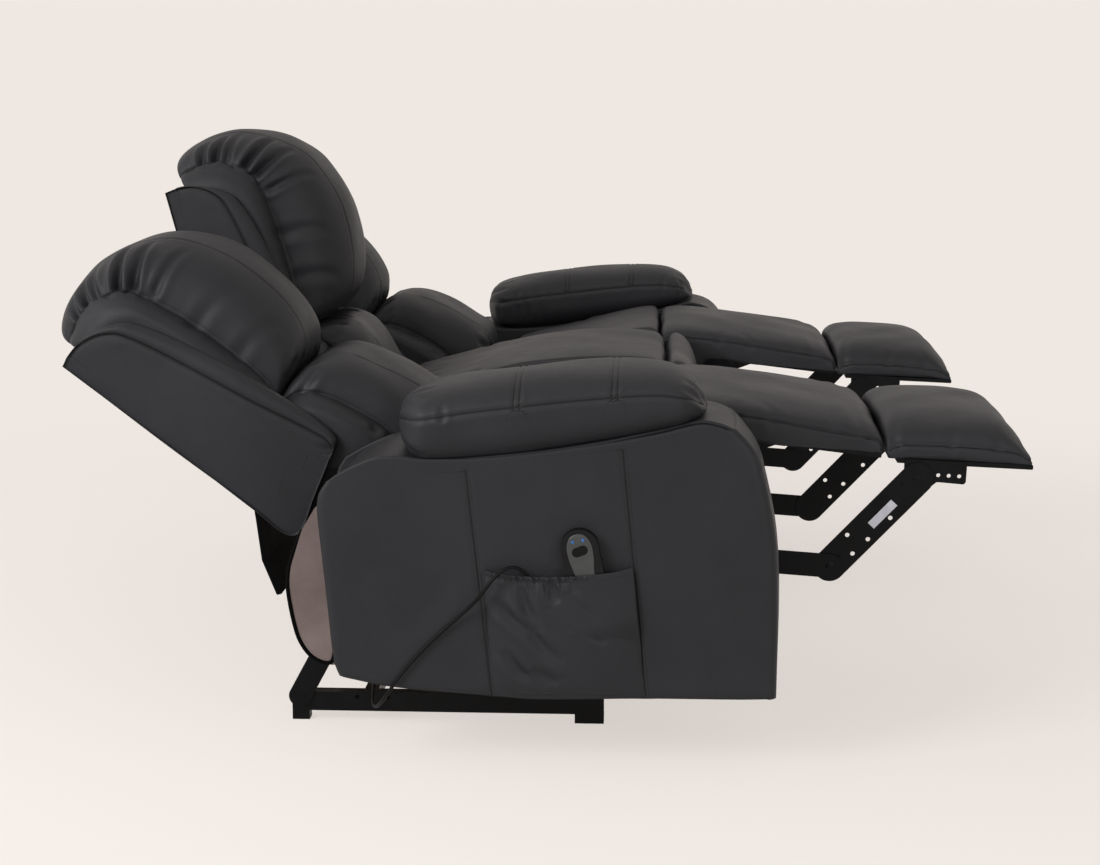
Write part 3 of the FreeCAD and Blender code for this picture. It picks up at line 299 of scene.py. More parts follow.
def makeMaterials():
    return {
        "leather": leather("charcoalLeather"), "plainLeather": leather("charcoalLeatherUnsewn", False),
        "steel": plainFinish("blackSteel", "steel", 30, 900, 0.00008),
        "liner": wovenFinish("beigeLinerCloth", "liner", finishes["liner"]["weave"]),
        "cloth": wovenFinish("blackUndersideCloth", "cloth", 1400),
        "plastic": plainFinish("blackPlastic", "plastic", 20, 1500, 0.00005),
        "rubber": plainFinish("blackRubber", "rubber", 20, 1100, 0.00005),
        "wood": plainFinish("frameWood", "wood", 7, 160, 0.0003, 0, (1, 9, 9)),
        "thread": plainFinish("seamThread", "thread", 40, 3000, 0.0001),
        "faceplate": plainFinish("greyFaceplate", "faceplate", 30, 1800, 0.00004),
        "mark": plainFinish("blueMark", "mark", 30, 1800, 0.00002),
        "sticker": plainFinish("bareSticker", "sticker", 60, 1500, 0.00002),
    }


makeStudio()
makeCamera()
materials = makeMaterials()
print("studio, camera and materials")


# Soft shapes: a closed side profile is carried across a seat on a grid of rows, one row per step
# across, and creases and seams press into that grid.

def loopPoints(corners, counts, sharp=()):
    points = np.array(corners, float)
    total = len(points)
    samples = []
    for index in range(total):
        before, here, after, beyond = (points[(index + step) % total] for step in (-1, 0, 1, 2))
        span = np.linalg.norm(after - here)

        def heading(direction):
            return direction / max(np.linalg.norm(direction), 1e-6) * span
        leave = after - here if index in sharp else heading(after - before)
        arrive = after - here if (index + 1) % total in sharp else heading(beyond - here)
        t = (np.arange(counts[index]) / counts[index])[:, None]
        samples.append((2 * t**3 - 3 * t**2 + 1) * here + (t**3 - 2 * t**2 + t) * leave
                       + (3 * t**2 - 2 * t**3) * after + (t**3 - t**2) * arrive)
    return np.vstack(samples)


def segmentCounts(corners, spacing):
    points = np.array(corners, float)
    spans = np.linalg.norm(np.roll(points, -1, 0) - points, axis=1)
    return [max(2, int(round(span / spacing))) for span in spans]


def crossRows(half, seamAt, power, roll, height=80, spacing=5, sideBulge=3):
    near = np.linspace(1, 0, 900) ** 4
    swell = np.clip(1 - (1 - near) ** power, 0, 1) ** (1 / power)
    run = np.concatenate([[0], np.cumsum(np.hypot(np.diff(seamAt * (1 - near)), np.diff(swell) * height))])
    picks = np.linspace(0, run[-1], int(run[-1] / spacing) + 1)
    dome = [(np.interp(pick, run, seamAt * (1 - near)), np.interp(pick, run, swell), 0) for pick in picks]
    steps = max(3, int(round(1.3 * (half - seamAt) / spacing)))
    for step in range(1, steps + 1):
        turn = math.pi / 2 * step / steps
        dome.append((seamAt + (half - seamAt) * math.sin(turn), 0, roll * (1 - math.cos(turn))))
    rows = [(-x, up, shrink) for x, up, shrink in reversed(dome[1:])] + dome
    caps = [(half + sideBulge * (1 - share**2), share) for share in (0.93, 0.82, 0.68, 0.52, 0.34, 0.16)]
    return rows, caps


def profileGrid(side, crest, spacing, across, sharp=()):
    rows, caps = across
    counts = segmentCounts(crest, spacing)
    low, high = loopPoints(side, counts, sharp), loopPoints(crest, counts, sharp)
    centre = low.mean(0)
    size = np.abs(low - centre).max(0).mean()
    grid, rowX = [], []

    def addRow(x, loop):
        grid.append(np.column_stack([np.full(len(loop), float(x)), loop]))
        rowX.append(x)
    for x, share in reversed(caps):
        shrink = 1 - rows[0][2] / size
        addRow(-x, centre + (low - centre) * shrink * share)
    for x, swell, shrink in rows:
        loop = low + (high - low) * swell
        addRow(x, centre + (loop - centre) * (1 - shrink / size))
    for x, share in caps:
        shrink = 1 - rows[-1][2] / size
        addRow(x, centre + (low - centre) * shrink * share)
    return {"grid": np.array(grid), "rowX": np.array(rowX), "starts": np.concatenate([[0], np.cumsum(counts)])}


def gridNormals(grid, wrapped=True):
    if wrapped:
        alongLoop = np.roll(grid, -1, 1) - np.roll(grid, 1, 1)
    else:
        alongLoop = np.gradient(grid, axis=1)
    normals = np.cross(alongLoop, np.gradient(grid, axis=0))
    normals /= np.maximum(np.linalg.norm(normals, axis=-1, keepdims=True), 1e-9)
    if wrapped:
        outward = (normals * (grid - grid.reshape(-1, 3).mean(0))).sum()
        if outward < 0:
            normals = -normals
    return normals


def pathOn(form, marks, density=8):
    marks = np.array(marks, float)
    steps = np.linspace(0, len(marks) - 1, (len(marks) - 1) * density + 1)
    xs = np.interp(steps, range(len(marks)), marks[:, 0])
    columns = np.interp(np.interp(steps, range(len(marks)), marks[:, 1]), range(len(form["starts"])), form["starts"])
    middle = slice(6, len(form["rowX"]) - 6)  # the side caps hold no marks
    rows = np.interp(xs, form["rowX"][middle], np.arange(len(form["rowX"]))[middle])
    grid, total = form["grid"], form["grid"].shape[1]
    r0, c0 = np.floor(rows).astype(int), np.floor(columns).astype(int)
    r1 = np.minimum(r0 + 1, grid.shape[0] - 1)
    fr, fc = (rows - r0)[:, None], (columns - c0)[:, None]
    c0, c1 = c0 % total, (c0 + 1) % total
    return ((grid[r0, c0] * (1 - fc) + grid[r0, c1] * fc) * (1 - fr) + (grid[r1, c0] * (1 - fc) + grid[r1, c1] * fc) * fr)


def nearest(points, path):
    best = np.full(len(points), 1e9)
    share = np.zeros(len(points))
    side = np.zeros((len(points), 3))
    for number, (start, end) in enumerate(zip(path[:-1], path[1:])):
        run = end - start
        t = np.clip(((points - start) @ run) / max(run @ run, 1e-9), 0, 1)
        offset = points - (start + t[:, None] * run)
        gap = np.linalg.norm(offset, axis=1)
        closer = gap < best
        best = np.where(closer, gap, best)
        share = np.where(closer, (number + t) / (len(path) - 1), share)
        side[closer] = np.cross(run / max(np.linalg.norm(run), 1e-9), offset[closer])
    return best, share, side


def sculpt(form, creases=(), seams=(), ripple=(0, 1, 0), wrapped=True):
    grid = form["grid"]
    normals = gridNormals(grid, wrapped) * form.get("turn", 1)
    flat, out = grid.reshape(-1, 3), normals.reshape(-1, 3)
    move = np.zeros(len(flat))
    seam = np.full(len(flat), sofa["seamFar"])
    for marks, depth, width, fade in creases:
        path = marks if isinstance(marks, np.ndarray) else pathOn(form, marks)
        gap, share, _ = nearest(flat, path)
        strength = {"both": np.sin(np.pi * share) ** 0.7, "out": (1 - share) ** 0.8}[fade]
        move += depth * strength * (0.45 * np.exp(-((gap - 2.0 * width) / width) ** 2) - np.exp(-(gap / width) ** 2))
    for marks, depth, width in seams:
        path = marks if isinstance(marks, np.ndarray) else pathOn(form, marks)
        gap, share, side = nearest(flat, path)
        move += depth * (0.3 * np.exp(-((gap - 2.4 * width) / (1.6 * width)) ** 2) - np.exp(-(gap / width) ** 2))
        sign = np.where((side * out).sum(1) < 0, -1.0, 1.0)
        sign[(share <= 0) | (share >= 1)] = 1.0
        seam = np.where(gap < np.abs(seam), gap * sign, seam)
    height, length, seed = ripple
    if height:
        x, y, z = (flat / length).T
        move += height * (np.sin(x * 1.3 + y * 0.7 + seed) * np.sin(y * 1.1 - z * 0.9 + 2.1 * seed)
                          + 0.5 * np.sin(x * 2.7 - y * 1.9 + z * 2.3 + 1.3 * seed))
    form["grid"] = (flat + out * move[:, None]).reshape(grid.shape)
    form["seam"] = seam.reshape(grid.shape[:2])
    return form


def gridMesh(name, form, place=None, material="leather", wrapped=True, poles=True):
    grid = form["grid"]
    rows, columns = grid.shape[:2]
    flat = grid.reshape(-1, 3)
    if place is not None:
        flat = np.column_stack([flat[:, 0], place(flat[:, 1:])])
    seam = form["seam"].reshape(-1) if "seam" in form else np.full(len(flat), sofa["seamFar"])
    faces = []
    for row in range(rows - 1):
        for column in range(columns if wrapped else columns - 1):
            after = (column + 1) % columns
            here, above = row * columns, (row + 1) * columns
            faces.append((here + column, here + after, above + after, above + column))
    if poles:
        ends = [flat[:columns].mean(0), flat[-columns:].mean(0)]
        flat = np.vstack([flat, ends])
        seam = np.concatenate([seam, [sofa["seamFar"]] * 2])
        for column in range(columns):
            after = (column + 1) % columns
            faces.append((len(flat) - 2, after, column))
            faces.append((len(flat) - 1, (rows - 1) * columns + column, (rows - 1) * columns + after))
    points = (flat - np.array([0, sofa["originDepth"], 0])) / 1000
    mesh = bpy.data.meshes.new(name)
    mesh.from_pydata(points.tolist(), [], faces)
    if wrapped and poles:
        corners = np.array([face if len(face) == 4 else (*face, face[2]) for face in faces])
        a, b, c, d = (points[corners[:, k]] for k in range(4))
        if (np.cross(a, b) * c + np.cross(a, c) * d).sum() < 0:
            mesh.flip_normals()
    attribute = mesh.attributes.new("seam", "FLOAT", "POINT")
    attribute.data.foreach_set("value", seam.astype(np.float32))
    mesh.polygons.foreach_set("use_smooth", np.ones(len(mesh.polygons), bool))
    mesh.materials.append(materials[material])
    return linked(name, mesh)


def bothSides(marks):
    return [marks, [(-x, index) for x, index in marks]]


def finish(piece, body, slotName, replaced=(), fill=None):
    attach(piece, body)
    if replaced:
        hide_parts(*replaced)
    return piece


# Cushions

headPillow = {
    "side": [(-325, 45.3), (5, 45.3), (9, 30), (24, 24), (30, 45), (31, 80), (22, 122), (-10, 158), (-50, 172), (-148, 183),
             (-299, 178), (-327, 150)],
    "crest": [(-325, 45.3), (5, 45.3), (10, 22), (58, 8), (84, 40), (92, 96), (84, 152), (44, 232), (-15, 284), (-132, 317),
              (-284, 284), (-330, 196)],
    "sharp": (0, 1), "half": 231, "seamAt": 180, "power": 2.3, "roll": 42, "fill": 0.75,
    "pleats": (4.7, 5.35, 5.8, 6.6, 7.15, 8.0), "pleatDepth": (10, 15, 8, 16, 12, 6), "pleatWidth": 7,
}
lumbarPillow = {
    "side": [(-343, 45.3), (-338, 140), (-350, 192), (-376, 216), (-423, 232), (-504, 242), (-553, 232), (-590, 200),
             (-594, 150), (-548, 96), (-470, 45.3)],
    "crest": [(-343, 45.3), (-330, 180), (-338, 252), (-372, 294), (-441, 318), (-520, 330), (-570, 331), (-606, 285),
              (-614, 210), (-562, 110), (-470, 45.3)],
    "sharp": (0, 10), "half": 231, "seamAt": 180, "power": 2.6, "roll": 34, "fill": 0.65,
    "creases": ([(-196, 4.9), (-222, 5.1)], [(-190, 5.5), (-224, 5.7)], [(-184, 6.2), (-220, 6.3)], [(-188, 2.2), (-160, 2.6)],
                [(-140, 1.6), (-120, 2.3)], [(-60, 1.6), (-50, 2.2)], [(-150, 5.8), (-128, 6.4)], [(-96, 6.3), (-84, 6.8)],
                [(-30, 6.4), (-24, 6.9)]),
}
seatCushion = {
    "crest": [(201, 441), (200, 505), (202, 578), (216, 594), (288, 583), (423, 548), (505, 527), (540, 511), (536, 490),
              (520, 460), (514, 441)],
    "side": [(201, 441), (202, 500), (206, 560), (222, 573), (288, 564), (423, 530), (500, 511), (533, 500), (533, 485),
             (520, 460), (514, 441)],
    "sharp": (0, 10), "half": 247, "seamAt": 240, "power": 5, "roll": 8, "fill": 0.7,
}
middleCushion = {
    "crest": [(290, 441), (288, 504), (194, 518), (188, 545), (191, 578), (212, 594), (300, 597), (389, 594), (478, 583),
              (613, 548), (695, 527), (731, 511), (726, 490), (710, 460), (704, 441)],
    "side": [(290, 441), (288, 504), (196, 518), (193, 540), (197, 562), (216, 576), (300, 579), (389, 576), (478, 565),
             (613, 530), (690, 511), (723, 500), (723, 485), (710, 460), (704, 441)],
    "sharp": (0, 1, 14), "half": 247, "seamAt": 240, "power": 5, "roll": 8, "fill": 0.7,
}
chaisePad = {
    "crest": [(197, 441), (198, 505), (196, 580), (182, 597), (106, 600), (14, 590), (-60, 579), (-133, 567), (-172, 551),
              (-188, 528), (-191, 508), (-187, 497), (-62, 512), (63, 526), (98, 506), (100, 441)],
    "side": [(197, 441), (198, 490), (196, 553), (184, 566), (106, 564), (14, 553), (-60, 541), (-133, 529), (-170, 523),
             (-184, 518), (-189, 508), (-187, 497), (-62, 512), (63, 526), (98, 506), (100, 441)],
    "sharp": (0, 14, 15), "half": 247, "seamAt": 243, "power": 2.5, "roll": 5, "fill": 0.6,
    "bend": ((-520, 115, 500), (-520, 25, 500)),
}
footPad = {
    "crest": [(0, 0), (-6, 28), (-6, 56), (20, 76), (101, 81), (174, 79), (206, 68), (232, 42), (246, 14), (248, 0)],
    "side": [(2, 0), (0, 9), (4, 17), (24, 23), (101, 25), (174, 24), (206, 21), (232, 16), (246, 8), (248, 0)],
    "sharp": (0, 9), "half": 244.5, "seamAt": 240.5, "power": 2.5, "roll": 4, "fill": 0.6,
    "creases": ([(-243, 2.4), (-205, 2.8), (-150, 3.1)], [(-243, 5.5), (-205, 5.3)], [(-242, 7.4), (-214, 6.6)],
                [(-160, 8.2), (-150, 6.9)], [(-70, 8.2), (-64, 7.1)], [(-243, 4.1), (-222, 4.1)]),
}
frontPanel = {
    "crest": [(187, 150), (187, 560), (166, 588), (130, 560), (114, 480), (110, 300), (116, 150)],
    "side": [(187, 150), (187, 548), (166, 572), (140, 545), (126, 475), (122, 300), (128, 150)],
    "sharp": (0, 1, 6), "half": 252, "seamAt": 246, "power": 6, "roll": 6, "fill": 0.5,
}


def cushionGrid(cushion, spacing=5):
    across = crossRows(cushion["half"], cushion["seamAt"], cushion["power"], cushion["roll"], spacing=spacing)
    return profileGrid(cushion["side"], cushion["crest"], spacing, across, cushion["sharp"])


def atSeat(form, seat):
    form["grid"][..., 0] += seats[seat][0] * sofa["seatPitch"]
    return form


def makeHeadPillow(seat, seed):
    form = cushionGrid(headPillow, 4.6)
    creases, edge = [], headPillow["seamAt"]
    for number, index in enumerate(headPillow["pleats"]):
        reach = (52, 70, 84, 92, 84, 70)[number]
        for marks in bothSides([(-edge + 1, index), (-edge + reach * 0.5, index + 0.05), (-edge + reach, index + 0.16)]):
            creases.append((marks, headPillow["pleatDepth"][number], headPillow["pleatWidth"], "out"))
    for marks in (*bothSides([(-212, 8.75), (-180, 8.9), (-140, 9.15)]), *bothSides([(-196, 9.5), (-176, 9.55), (-130, 9.75)])):
        creases.append((marks, 2.6, 11, "both"))
    for marks in (*bothSides([(-214, 9.9), (-190, 10.1)]), *bothSides([(-150, 10.7), (-120, 10.4)]),
                  *bothSides([(-100, 10.8), (-84, 10.45)]), *bothSides([(-40, 10.8), (-32, 10.5)])):
        creases.append((marks, 3.5, 8, "both"))
    seams = [(marks, 2.6, 3.2) for marks in bothSides([(-edge, 2.6), (-edge, 11)])]
    seams += [(marks, 1.3, 2.6) for marks in bothSides([(-88, 2.8), (-86, 6), (-82, 9), (-78, 10.7)])]
    sculpt(form, creases, seams, (1.6, 70, seed))
    piece = gridMesh(seat + "HeadPillow", atSeat(form, seat), backPlace(seat))
    finish(piece, bodyOf(seat, "back"), "charcoal_leather", [seat + "_head_pillow"], headPillow["fill"])


def makeLumbarPillow(seat, seed):
    form = cushionGrid(lumbarPillow, 4.8)
    edge = lumbarPillow["seamAt"]
    creases = [(marks, 5, 9, "both") for path in lumbarPillow["creases"] for marks in bothSides(path)]
    seams = [(marks, 2.4, 3.2) for marks in bothSides([(-edge, 0.6), (-edge, 7.6)])]
    seams += [(marks, 1.3, 2.6) for marks in bothSides([(-88, 1), (-88, 7.4)])]
    sculpt(form, creases, seams, (1.8, 64, seed))
    piece = gridMesh(seat + "LumbarPillow", atSeat(form, seat), backPlace(seat))
    finish(piece, bodyOf(seat, "back"), "charcoal_leather", [seat + "_lumbar_pillow"], lumbarPillow["fill"])


def makeSeatCushion(seat, cushion, seed):
    form = cushionGrid(cushion, 5.5)
    rear = len(cushion["crest"]) - 5
    creases = [(marks, 3, 12, "both") for path in ([(-235, rear - 1.2), (-190, rear - 1.4)], [(-120, rear), (-110, rear - 0.7)],
                                                   [(-30, rear), (-20, rear - 0.6)]) for marks in bothSides(path)]
    seams = [(marks, 1.6, 3) for marks in bothSides([(-232, 2.2), (-236, len(cushion["crest"]) - 3.6)])]
    sculpt(form, creases, seams, (1.5, 85, seed))
    piece = gridMesh(seat + "SeatCushion", atSeat(form, seat))
    finish(piece, bodyOf(seat, "carriage"), "charcoal_leather", [seat + "_seat_cushion"], cushion["fill"])


def makeChaisePad(seat, seed):
    form = cushionGrid(chaisePad, 5)
    creases = [(marks, 2.2, 9, "out") for path in ([(-238, 7.4), (-150, 7.3), (-60, 7.35)], [(-236, 6.6), (-150, 6.7)],
                                                   [(-244, 5.2), (-200, 5.0)], [(-244, 8.2), (-215, 7.8)],
                                                   [(-244, 4.4), (-210, 4.5)]) for marks in bothSides(path)]
    creases += [(marks, 2.5, 7, "out") for marks in bothSides([(-243, 9.4), (-232, 8.2)])]
    seams = [(marks, 1.8, 2.8) for marks in bothSides([(-244, 3.4), (-244, 10.4)])]
    seams += [([(-236, 2.15), (0, 2.3), (236, 2.15)], 1.5, 3)]
    sculpt(form, creases, seams, (1.6, 75, seed))
    piece = gridMesh(seat + "ChaisePad", atSeat(form, seat))
    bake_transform(piece)
    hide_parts(seat + "_calf_pad")


def makeFootPad(seat, seed):
    form = cushionGrid(footPad, 5)
    creases = [(marks, 2.4, 8, "out") for path in footPad["creases"] for marks in bothSides(path)]
    seams = [(marks, 1.6, 2.8) for marks in bothSides([(-244, 1.2), (-244, 8.2)])]
    seams += [([(-240, 8.35), (0, 8.3), (240, 8.35)], 1.6, 2.8)]
    sculpt(form, creases, seams, (1.3, 60, seed))
    piece = gridMesh(seat + "FootPad", atSeat(form, seat), footPlace)
    finish(piece, bodyOf(seat, "foot"), "charcoal_leather", [seat + "_foot_pad"], footPad["fill"])


def makeFrontPanel():
    form = cushionGrid(frontPanel, 6)
    sculpt(form, (), [(marks, 1.6, 3) for marks in bothSides([(-240, 1.3), (-240, 5.8)])], (1.0, 120, 3.1))
    piece = gridMesh("middleFrontPanel", form)
    finish(piece, "root", "charcoal_leather", ["middle_front_panel"], frontPanel["fill"])


# Back shells: two padded wings and a padded rear panel

backShell = {
    "panel": [(-426, 0), (-210, 0), (0, 0), (3, 24), (0, 50), (-20, 84), (-50, 106), (-150, 128), (-300, 153), (-436, 177),
              (-462, 174), (-470, 151), (-489, 80), (-505, 24), (-501, 6), (-480, -2)],
    "strip": [(-426, 0), (-210, 0), (0, 0), (3, 28), (-3, 68), (-22, 108), (-48, 133), (-130, 158), (-320, 188), (-436, 195),
              (-461, 186), (-470, 154), (-489, 80), (-505, 24), (-501, 6), (-480, -2)],
    "wing": [(251.5, 0.0), (254.6, 0.08), (256.4, 0.26), (256, 0.5), (252.5, 0.76), (246, 0.93), (238, 1.0), (231, 0.95),
             (225, 0.74), (222, 0.45)],
    "rear": [(-500, 0), (-250, -2), (-6, -1), (3, 8), (1, 36), (-7, 45), (-15, 40), (-18, 17), (-250, 15.5), (-500, 15.5)],
    "rearHalf": 226,
}


def wingGrid(side):
    counts = segmentCounts(backShell["panel"], 5)
    panel, strip = (loopPoints(backShell[key], counts, (2,)) for key in ("panel", "strip"))
    centre = panel.mean(0)
    grid = [np.column_stack([np.full(len(panel), 251.5 + 2.5 * (1 - share**2)), centre + (panel - centre) * share])
            for share in (0.06, 0.2, 0.36, 0.52, 0.66, 0.78, 0.88, 0.95, 0.985)]
    for x, share in backShell["wing"]:
        grid.append(np.column_stack([np.full(len(panel), x), panel + (strip - panel) * share]))
    inner = panel + (strip - panel) * 0.2
    grid += [np.column_stack([np.full(len(panel), 221.0), centre + (inner - centre) * share])
             for share in (0.98, 0.7, 0.35, 0.08)]
    grid = np.array(grid)
    grid[..., 0] *= side
    return {"grid": grid, "rowX": grid[:, 0, 0], "starts": np.concatenate([[0], np.cumsum(counts)])}


def makeBackShell(seat, seed):
    place = backPlace(seat)
    for side in (-1, 1):
        form = wingGrid(side)
        edgeRow = form["grid"][9]
        first, last = form["starts"][3], form["starts"][11]
        seamPath = edgeRow[first:last:3]
        tucks = [np.array([edgeRow[form["starts"][10]], edgeRow[form["starts"][10]] + (0, 14, -16)])]
        sculpt(form, [(path, 3, 6, "out") for path in tucks], [(seamPath, 2.6, 3.4)], (1.1, 110, seed + side))
        tag = "Near" if side < 0 else "Far"
        piece = gridMesh(seat + "Back" + tag + "Wing", atSeat(form, seat), place)
        finish(piece, bodyOf(seat, "back"), "charcoal_leather", [seat + "_back_shell"])
    half = backShell["rearHalf"]
    across = crossRows(half, half - 3, 12, 3, spacing=9, sideBulge=0)
    form = profileGrid(backShell["rear"], backShell["rear"], 8, across, (0, 9))
    seams = [([(x, 0.15), (x, 2.6)], 2.2, 5) for x in (-150, 150)]
    sculpt(form, (), seams, (1.5, 130, seed))
    piece = gridMesh(seat + "BackRearPanel", atSeat(form, seat), place)
    finish(piece, bodyOf(seat, "back"), "charcoal_leather")


# Arms: the upholstered wall, its shoulder, and the bolster on top

armWall = {
    "bottom": [(1, 127), (60, 125), (215, 124), (399, 121), (472, 126), (636, 138), (727, 155)],
    "top": [(74, 578), (100, 590), (134, 594), (197, 578), (294, 558), (457, 534), (580, 527), (632, 531), (664, 527),
            (705, 509), (744, 486)],
    "front": [(1, 127), (0, 265), (3, 349), (10, 415), (26, 491), (40, 537), (74, 578)],
    "rear": [(727, 155), (736, 183), (747, 298), (757, 400), (760, 438), (757, 464), (744, 486)],
    "round": 17, "wall": 16, "spacing": 6.5,
    "seams": ([(513, 507), (472, 126)], [(257, 542), (217, 130)]),
}
armPad = {
    "top": [(629, 584), (617, 616), (550, 643), (432, 661), (298, 673), (198, 672), (148, 652), (121, 612)],
    "bottom": [(629, 570), (621, 539), (580, 509), (457, 517), (294, 542), (197, 563), (133, 585), (121, 600)],
    "rear": 630, "front": 120, "endRound": 62, "power": 2.7, "seamLift": 0.22, "crossSeams": (430, 270),
}


def openCurve(points, count):
    points = np.array(points, float)
    tangents = np.gradient(points, axis=0)
    gaps = np.linalg.norm(np.diff(points, axis=0), axis=1)
    where = np.concatenate([[0], np.cumsum(gaps)]) / gaps.sum()
    share = np.linspace(0, 1, count)
    index = np.clip(np.searchsorted(where, share, side="right") - 1, 0, len(points) - 2)
    t = ((share - where[index]) / (where[index + 1] - where[index]))[:, None]
    here, after, span = points[index], points[index + 1], gaps[index][:, None]
    unit = tangents / np.maximum(np.linalg.norm(tangents, axis=1, keepdims=True), 1e-9)
    return ((2 * t**3 - 3 * t**2 + 1) * here + (t**3 - 2 * t**2 + t) * unit[index] * span
            + (3 * t**2 - 2 * t**3) * after + (t**3 - t**2) * unit[index + 1] * span)


def wallPatch(front, rear, bottom, top):
    s = np.linspace(0, 1, len(front))[:, None, None]
    t = np.linspace(0, 1, len(bottom))[None, :, None]
    corners = ((1 - s) * (1 - t) * bottom[0] + (1 - s) * t * bottom[-1] + s * (1 - t) * top[0] + s * t * top[-1])
    return (1 - s) * bottom[None] + s * top[None] + (1 - t) * front[:, None] + t * rear[:, None] - corners


def makeArmWall(seat):
    side = seats[seat][0]
    rows, columns = int(460 / armWall["spacing"]), int(740 / armWall["spacing"])
    radius, outer, inner = armWall["round"], sofa["armOuter"], sofa["armInner"]
    front = openCurve(armWall["front"], rows)
    inset = front + (radius, 0)
    bottom, top = openCurve(armWall["bottom"], columns), openCurve(armWall["top"], columns)
    bottom[:, 0] = np.interp(np.linspace(0, 1, columns), [0, 1], [inset[0, 0], bottom[-1, 0]])
    bottom[:, 1] = np.interp(bottom[:, 0], *np.array(openCurve(armWall["bottom"], 200)).T)
    top[:, 0] = np.interp(np.linspace(0, 1, columns), [0, 1], [inset[-1, 0], top[-1, 0]])
    top[:, 1] = np.interp(top[:, 0], *np.array(openCurve(armWall["top"], 200)).T)
    face = wallPatch(inset, openCurve(armWall["rear"], rows), bottom, top)
    columnsX = []
    turns = np.linspace(0, math.pi / 2, 7)[1:]
    lean = np.zeros((rows, columns))
    ends = np.minimum(np.linspace(0, 1, columns)[::-1] * 740, 12) / 12
    lean += 4 * (1 - ends) ** 2
    lean += 3 * (1 - np.minimum(np.linspace(0, 1, rows)[:, None] * 460, 12) / 12) ** 2
    for column in range(columns - 1, -1, -1):
        columnsX.append(np.column_stack([outer - lean[:, column], face[:, column]]))

    def rollColumn(x, turn):
        return np.column_stack([np.full(rows, x), front + (radius * (1 - math.sin(turn)), 0)])
    for turn in turns:
        columnsX.append(rollColumn(outer - radius * (1 - math.cos(turn)), turn))
    for x in np.linspace(outer - radius, inner + radius, 26)[1:-1]:
        bow = 5 * math.sin(math.pi * (outer - radius - x) / (outer - inner - 2 * radius))
        columnsX.append(np.column_stack([np.full(rows, x), front - (bow, 0)]))
    for turn in turns[::-1]:
        columnsX.append(rollColumn(inner + radius * (1 - math.cos(turn)), turn))
    for column in range(columns):
        columnsX.append(np.column_stack([np.full(rows, inner), face[:, column]]))
    grid = np.stack(columnsX, 1)
    grid[..., 0] *= side
    form = {"grid": grid, "turn": -side}
    seams = [(np.array([(side * outer, *point) for point in path]), 2.0, 3.4) for path in armWall["seams"]]
    creases = []
    if side < 0:  # the pocket and the handset pull the panel a little
        creases = [(np.array([(-outer, 520, 330), (-outer, 600, 250), (-outer, 650, 215)]), 1.5, 22, "both")]
    sculpt(form, creases, seams, (0.9, 140, 1.7 + side), wrapped=False)
    piece = gridMesh(seat + "ArmWall", form, wrapped=False, poles=False)
    normal = sum((face.normal.x for face in piece.data.polygons[:50]), 0)
    if normal * side < 0:
        piece.data.flip_normals()
    solid = piece.modifiers.new("wallThickness", "SOLIDIFY")
    solid.thickness, solid.offset = armWall["wall"] / 1000, -1
    bakeModifiers(piece)
    finish(piece, bodyOf(seat, "carriage"), "charcoal_leather", [seat + "_arm_panel"])


def bakeModifiers(piece):
    dependencies = bpy.context.evaluated_depsgraph_get()
    mesh = bpy.data.meshes.new_from_object(piece.evaluated_get(dependencies))
    old = piece.data
    piece.modifiers.clear()
    piece.data = mesh
    mesh.name = old.name
    bpy.data.meshes.remove(old)


armShoulder = {
    "line": [(44, 540), (57, 561), (76, 578), (101, 589), (134, 593), (197, 577), (294, 557), (457, 533), (580, 525),
             (632, 529), (663, 524), (704, 505), (733, 476), (745, 450), (748, 425), (744, 380), (737, 298), (728, 195),
             (719, 160)],
}


def makeShoulder(seat):
    side = seats[seat][0]
    line = openCurve(armShoulder["line"], 150)
    loop = []
    for x in np.linspace(sofa["armOuter"] - 4, sofa["armInner"] + 4, 34):
        share = (x - sofa["armInner"]) / (sofa["armOuter"] - sofa["armInner"])
        crown = 5 * math.sin(math.pi * share) ** 0.5 - 3
        loop.append(np.column_stack([np.full(len(line), side * x), line + np.array([0.35, 0.94]) * crown]))
    form = sculpt({"grid": np.array(loop), "turn": side}, (), (), (0.8, 90, 2.2), wrapped=False)
    piece = gridMesh(seat + "ArmShoulder", form, wrapped=False, poles=False)
    if sum(face.normal.z for face in piece.data.polygons[:60]) < 0:
        piece.data.flip_normals()
    solid = piece.modifiers.new("thickness", "SOLIDIFY")
    solid.thickness, solid.offset = 0.006, -1
    bakeModifiers(piece)
    finish(piece, bodyOf(seat, "carriage"), "charcoal_leather")


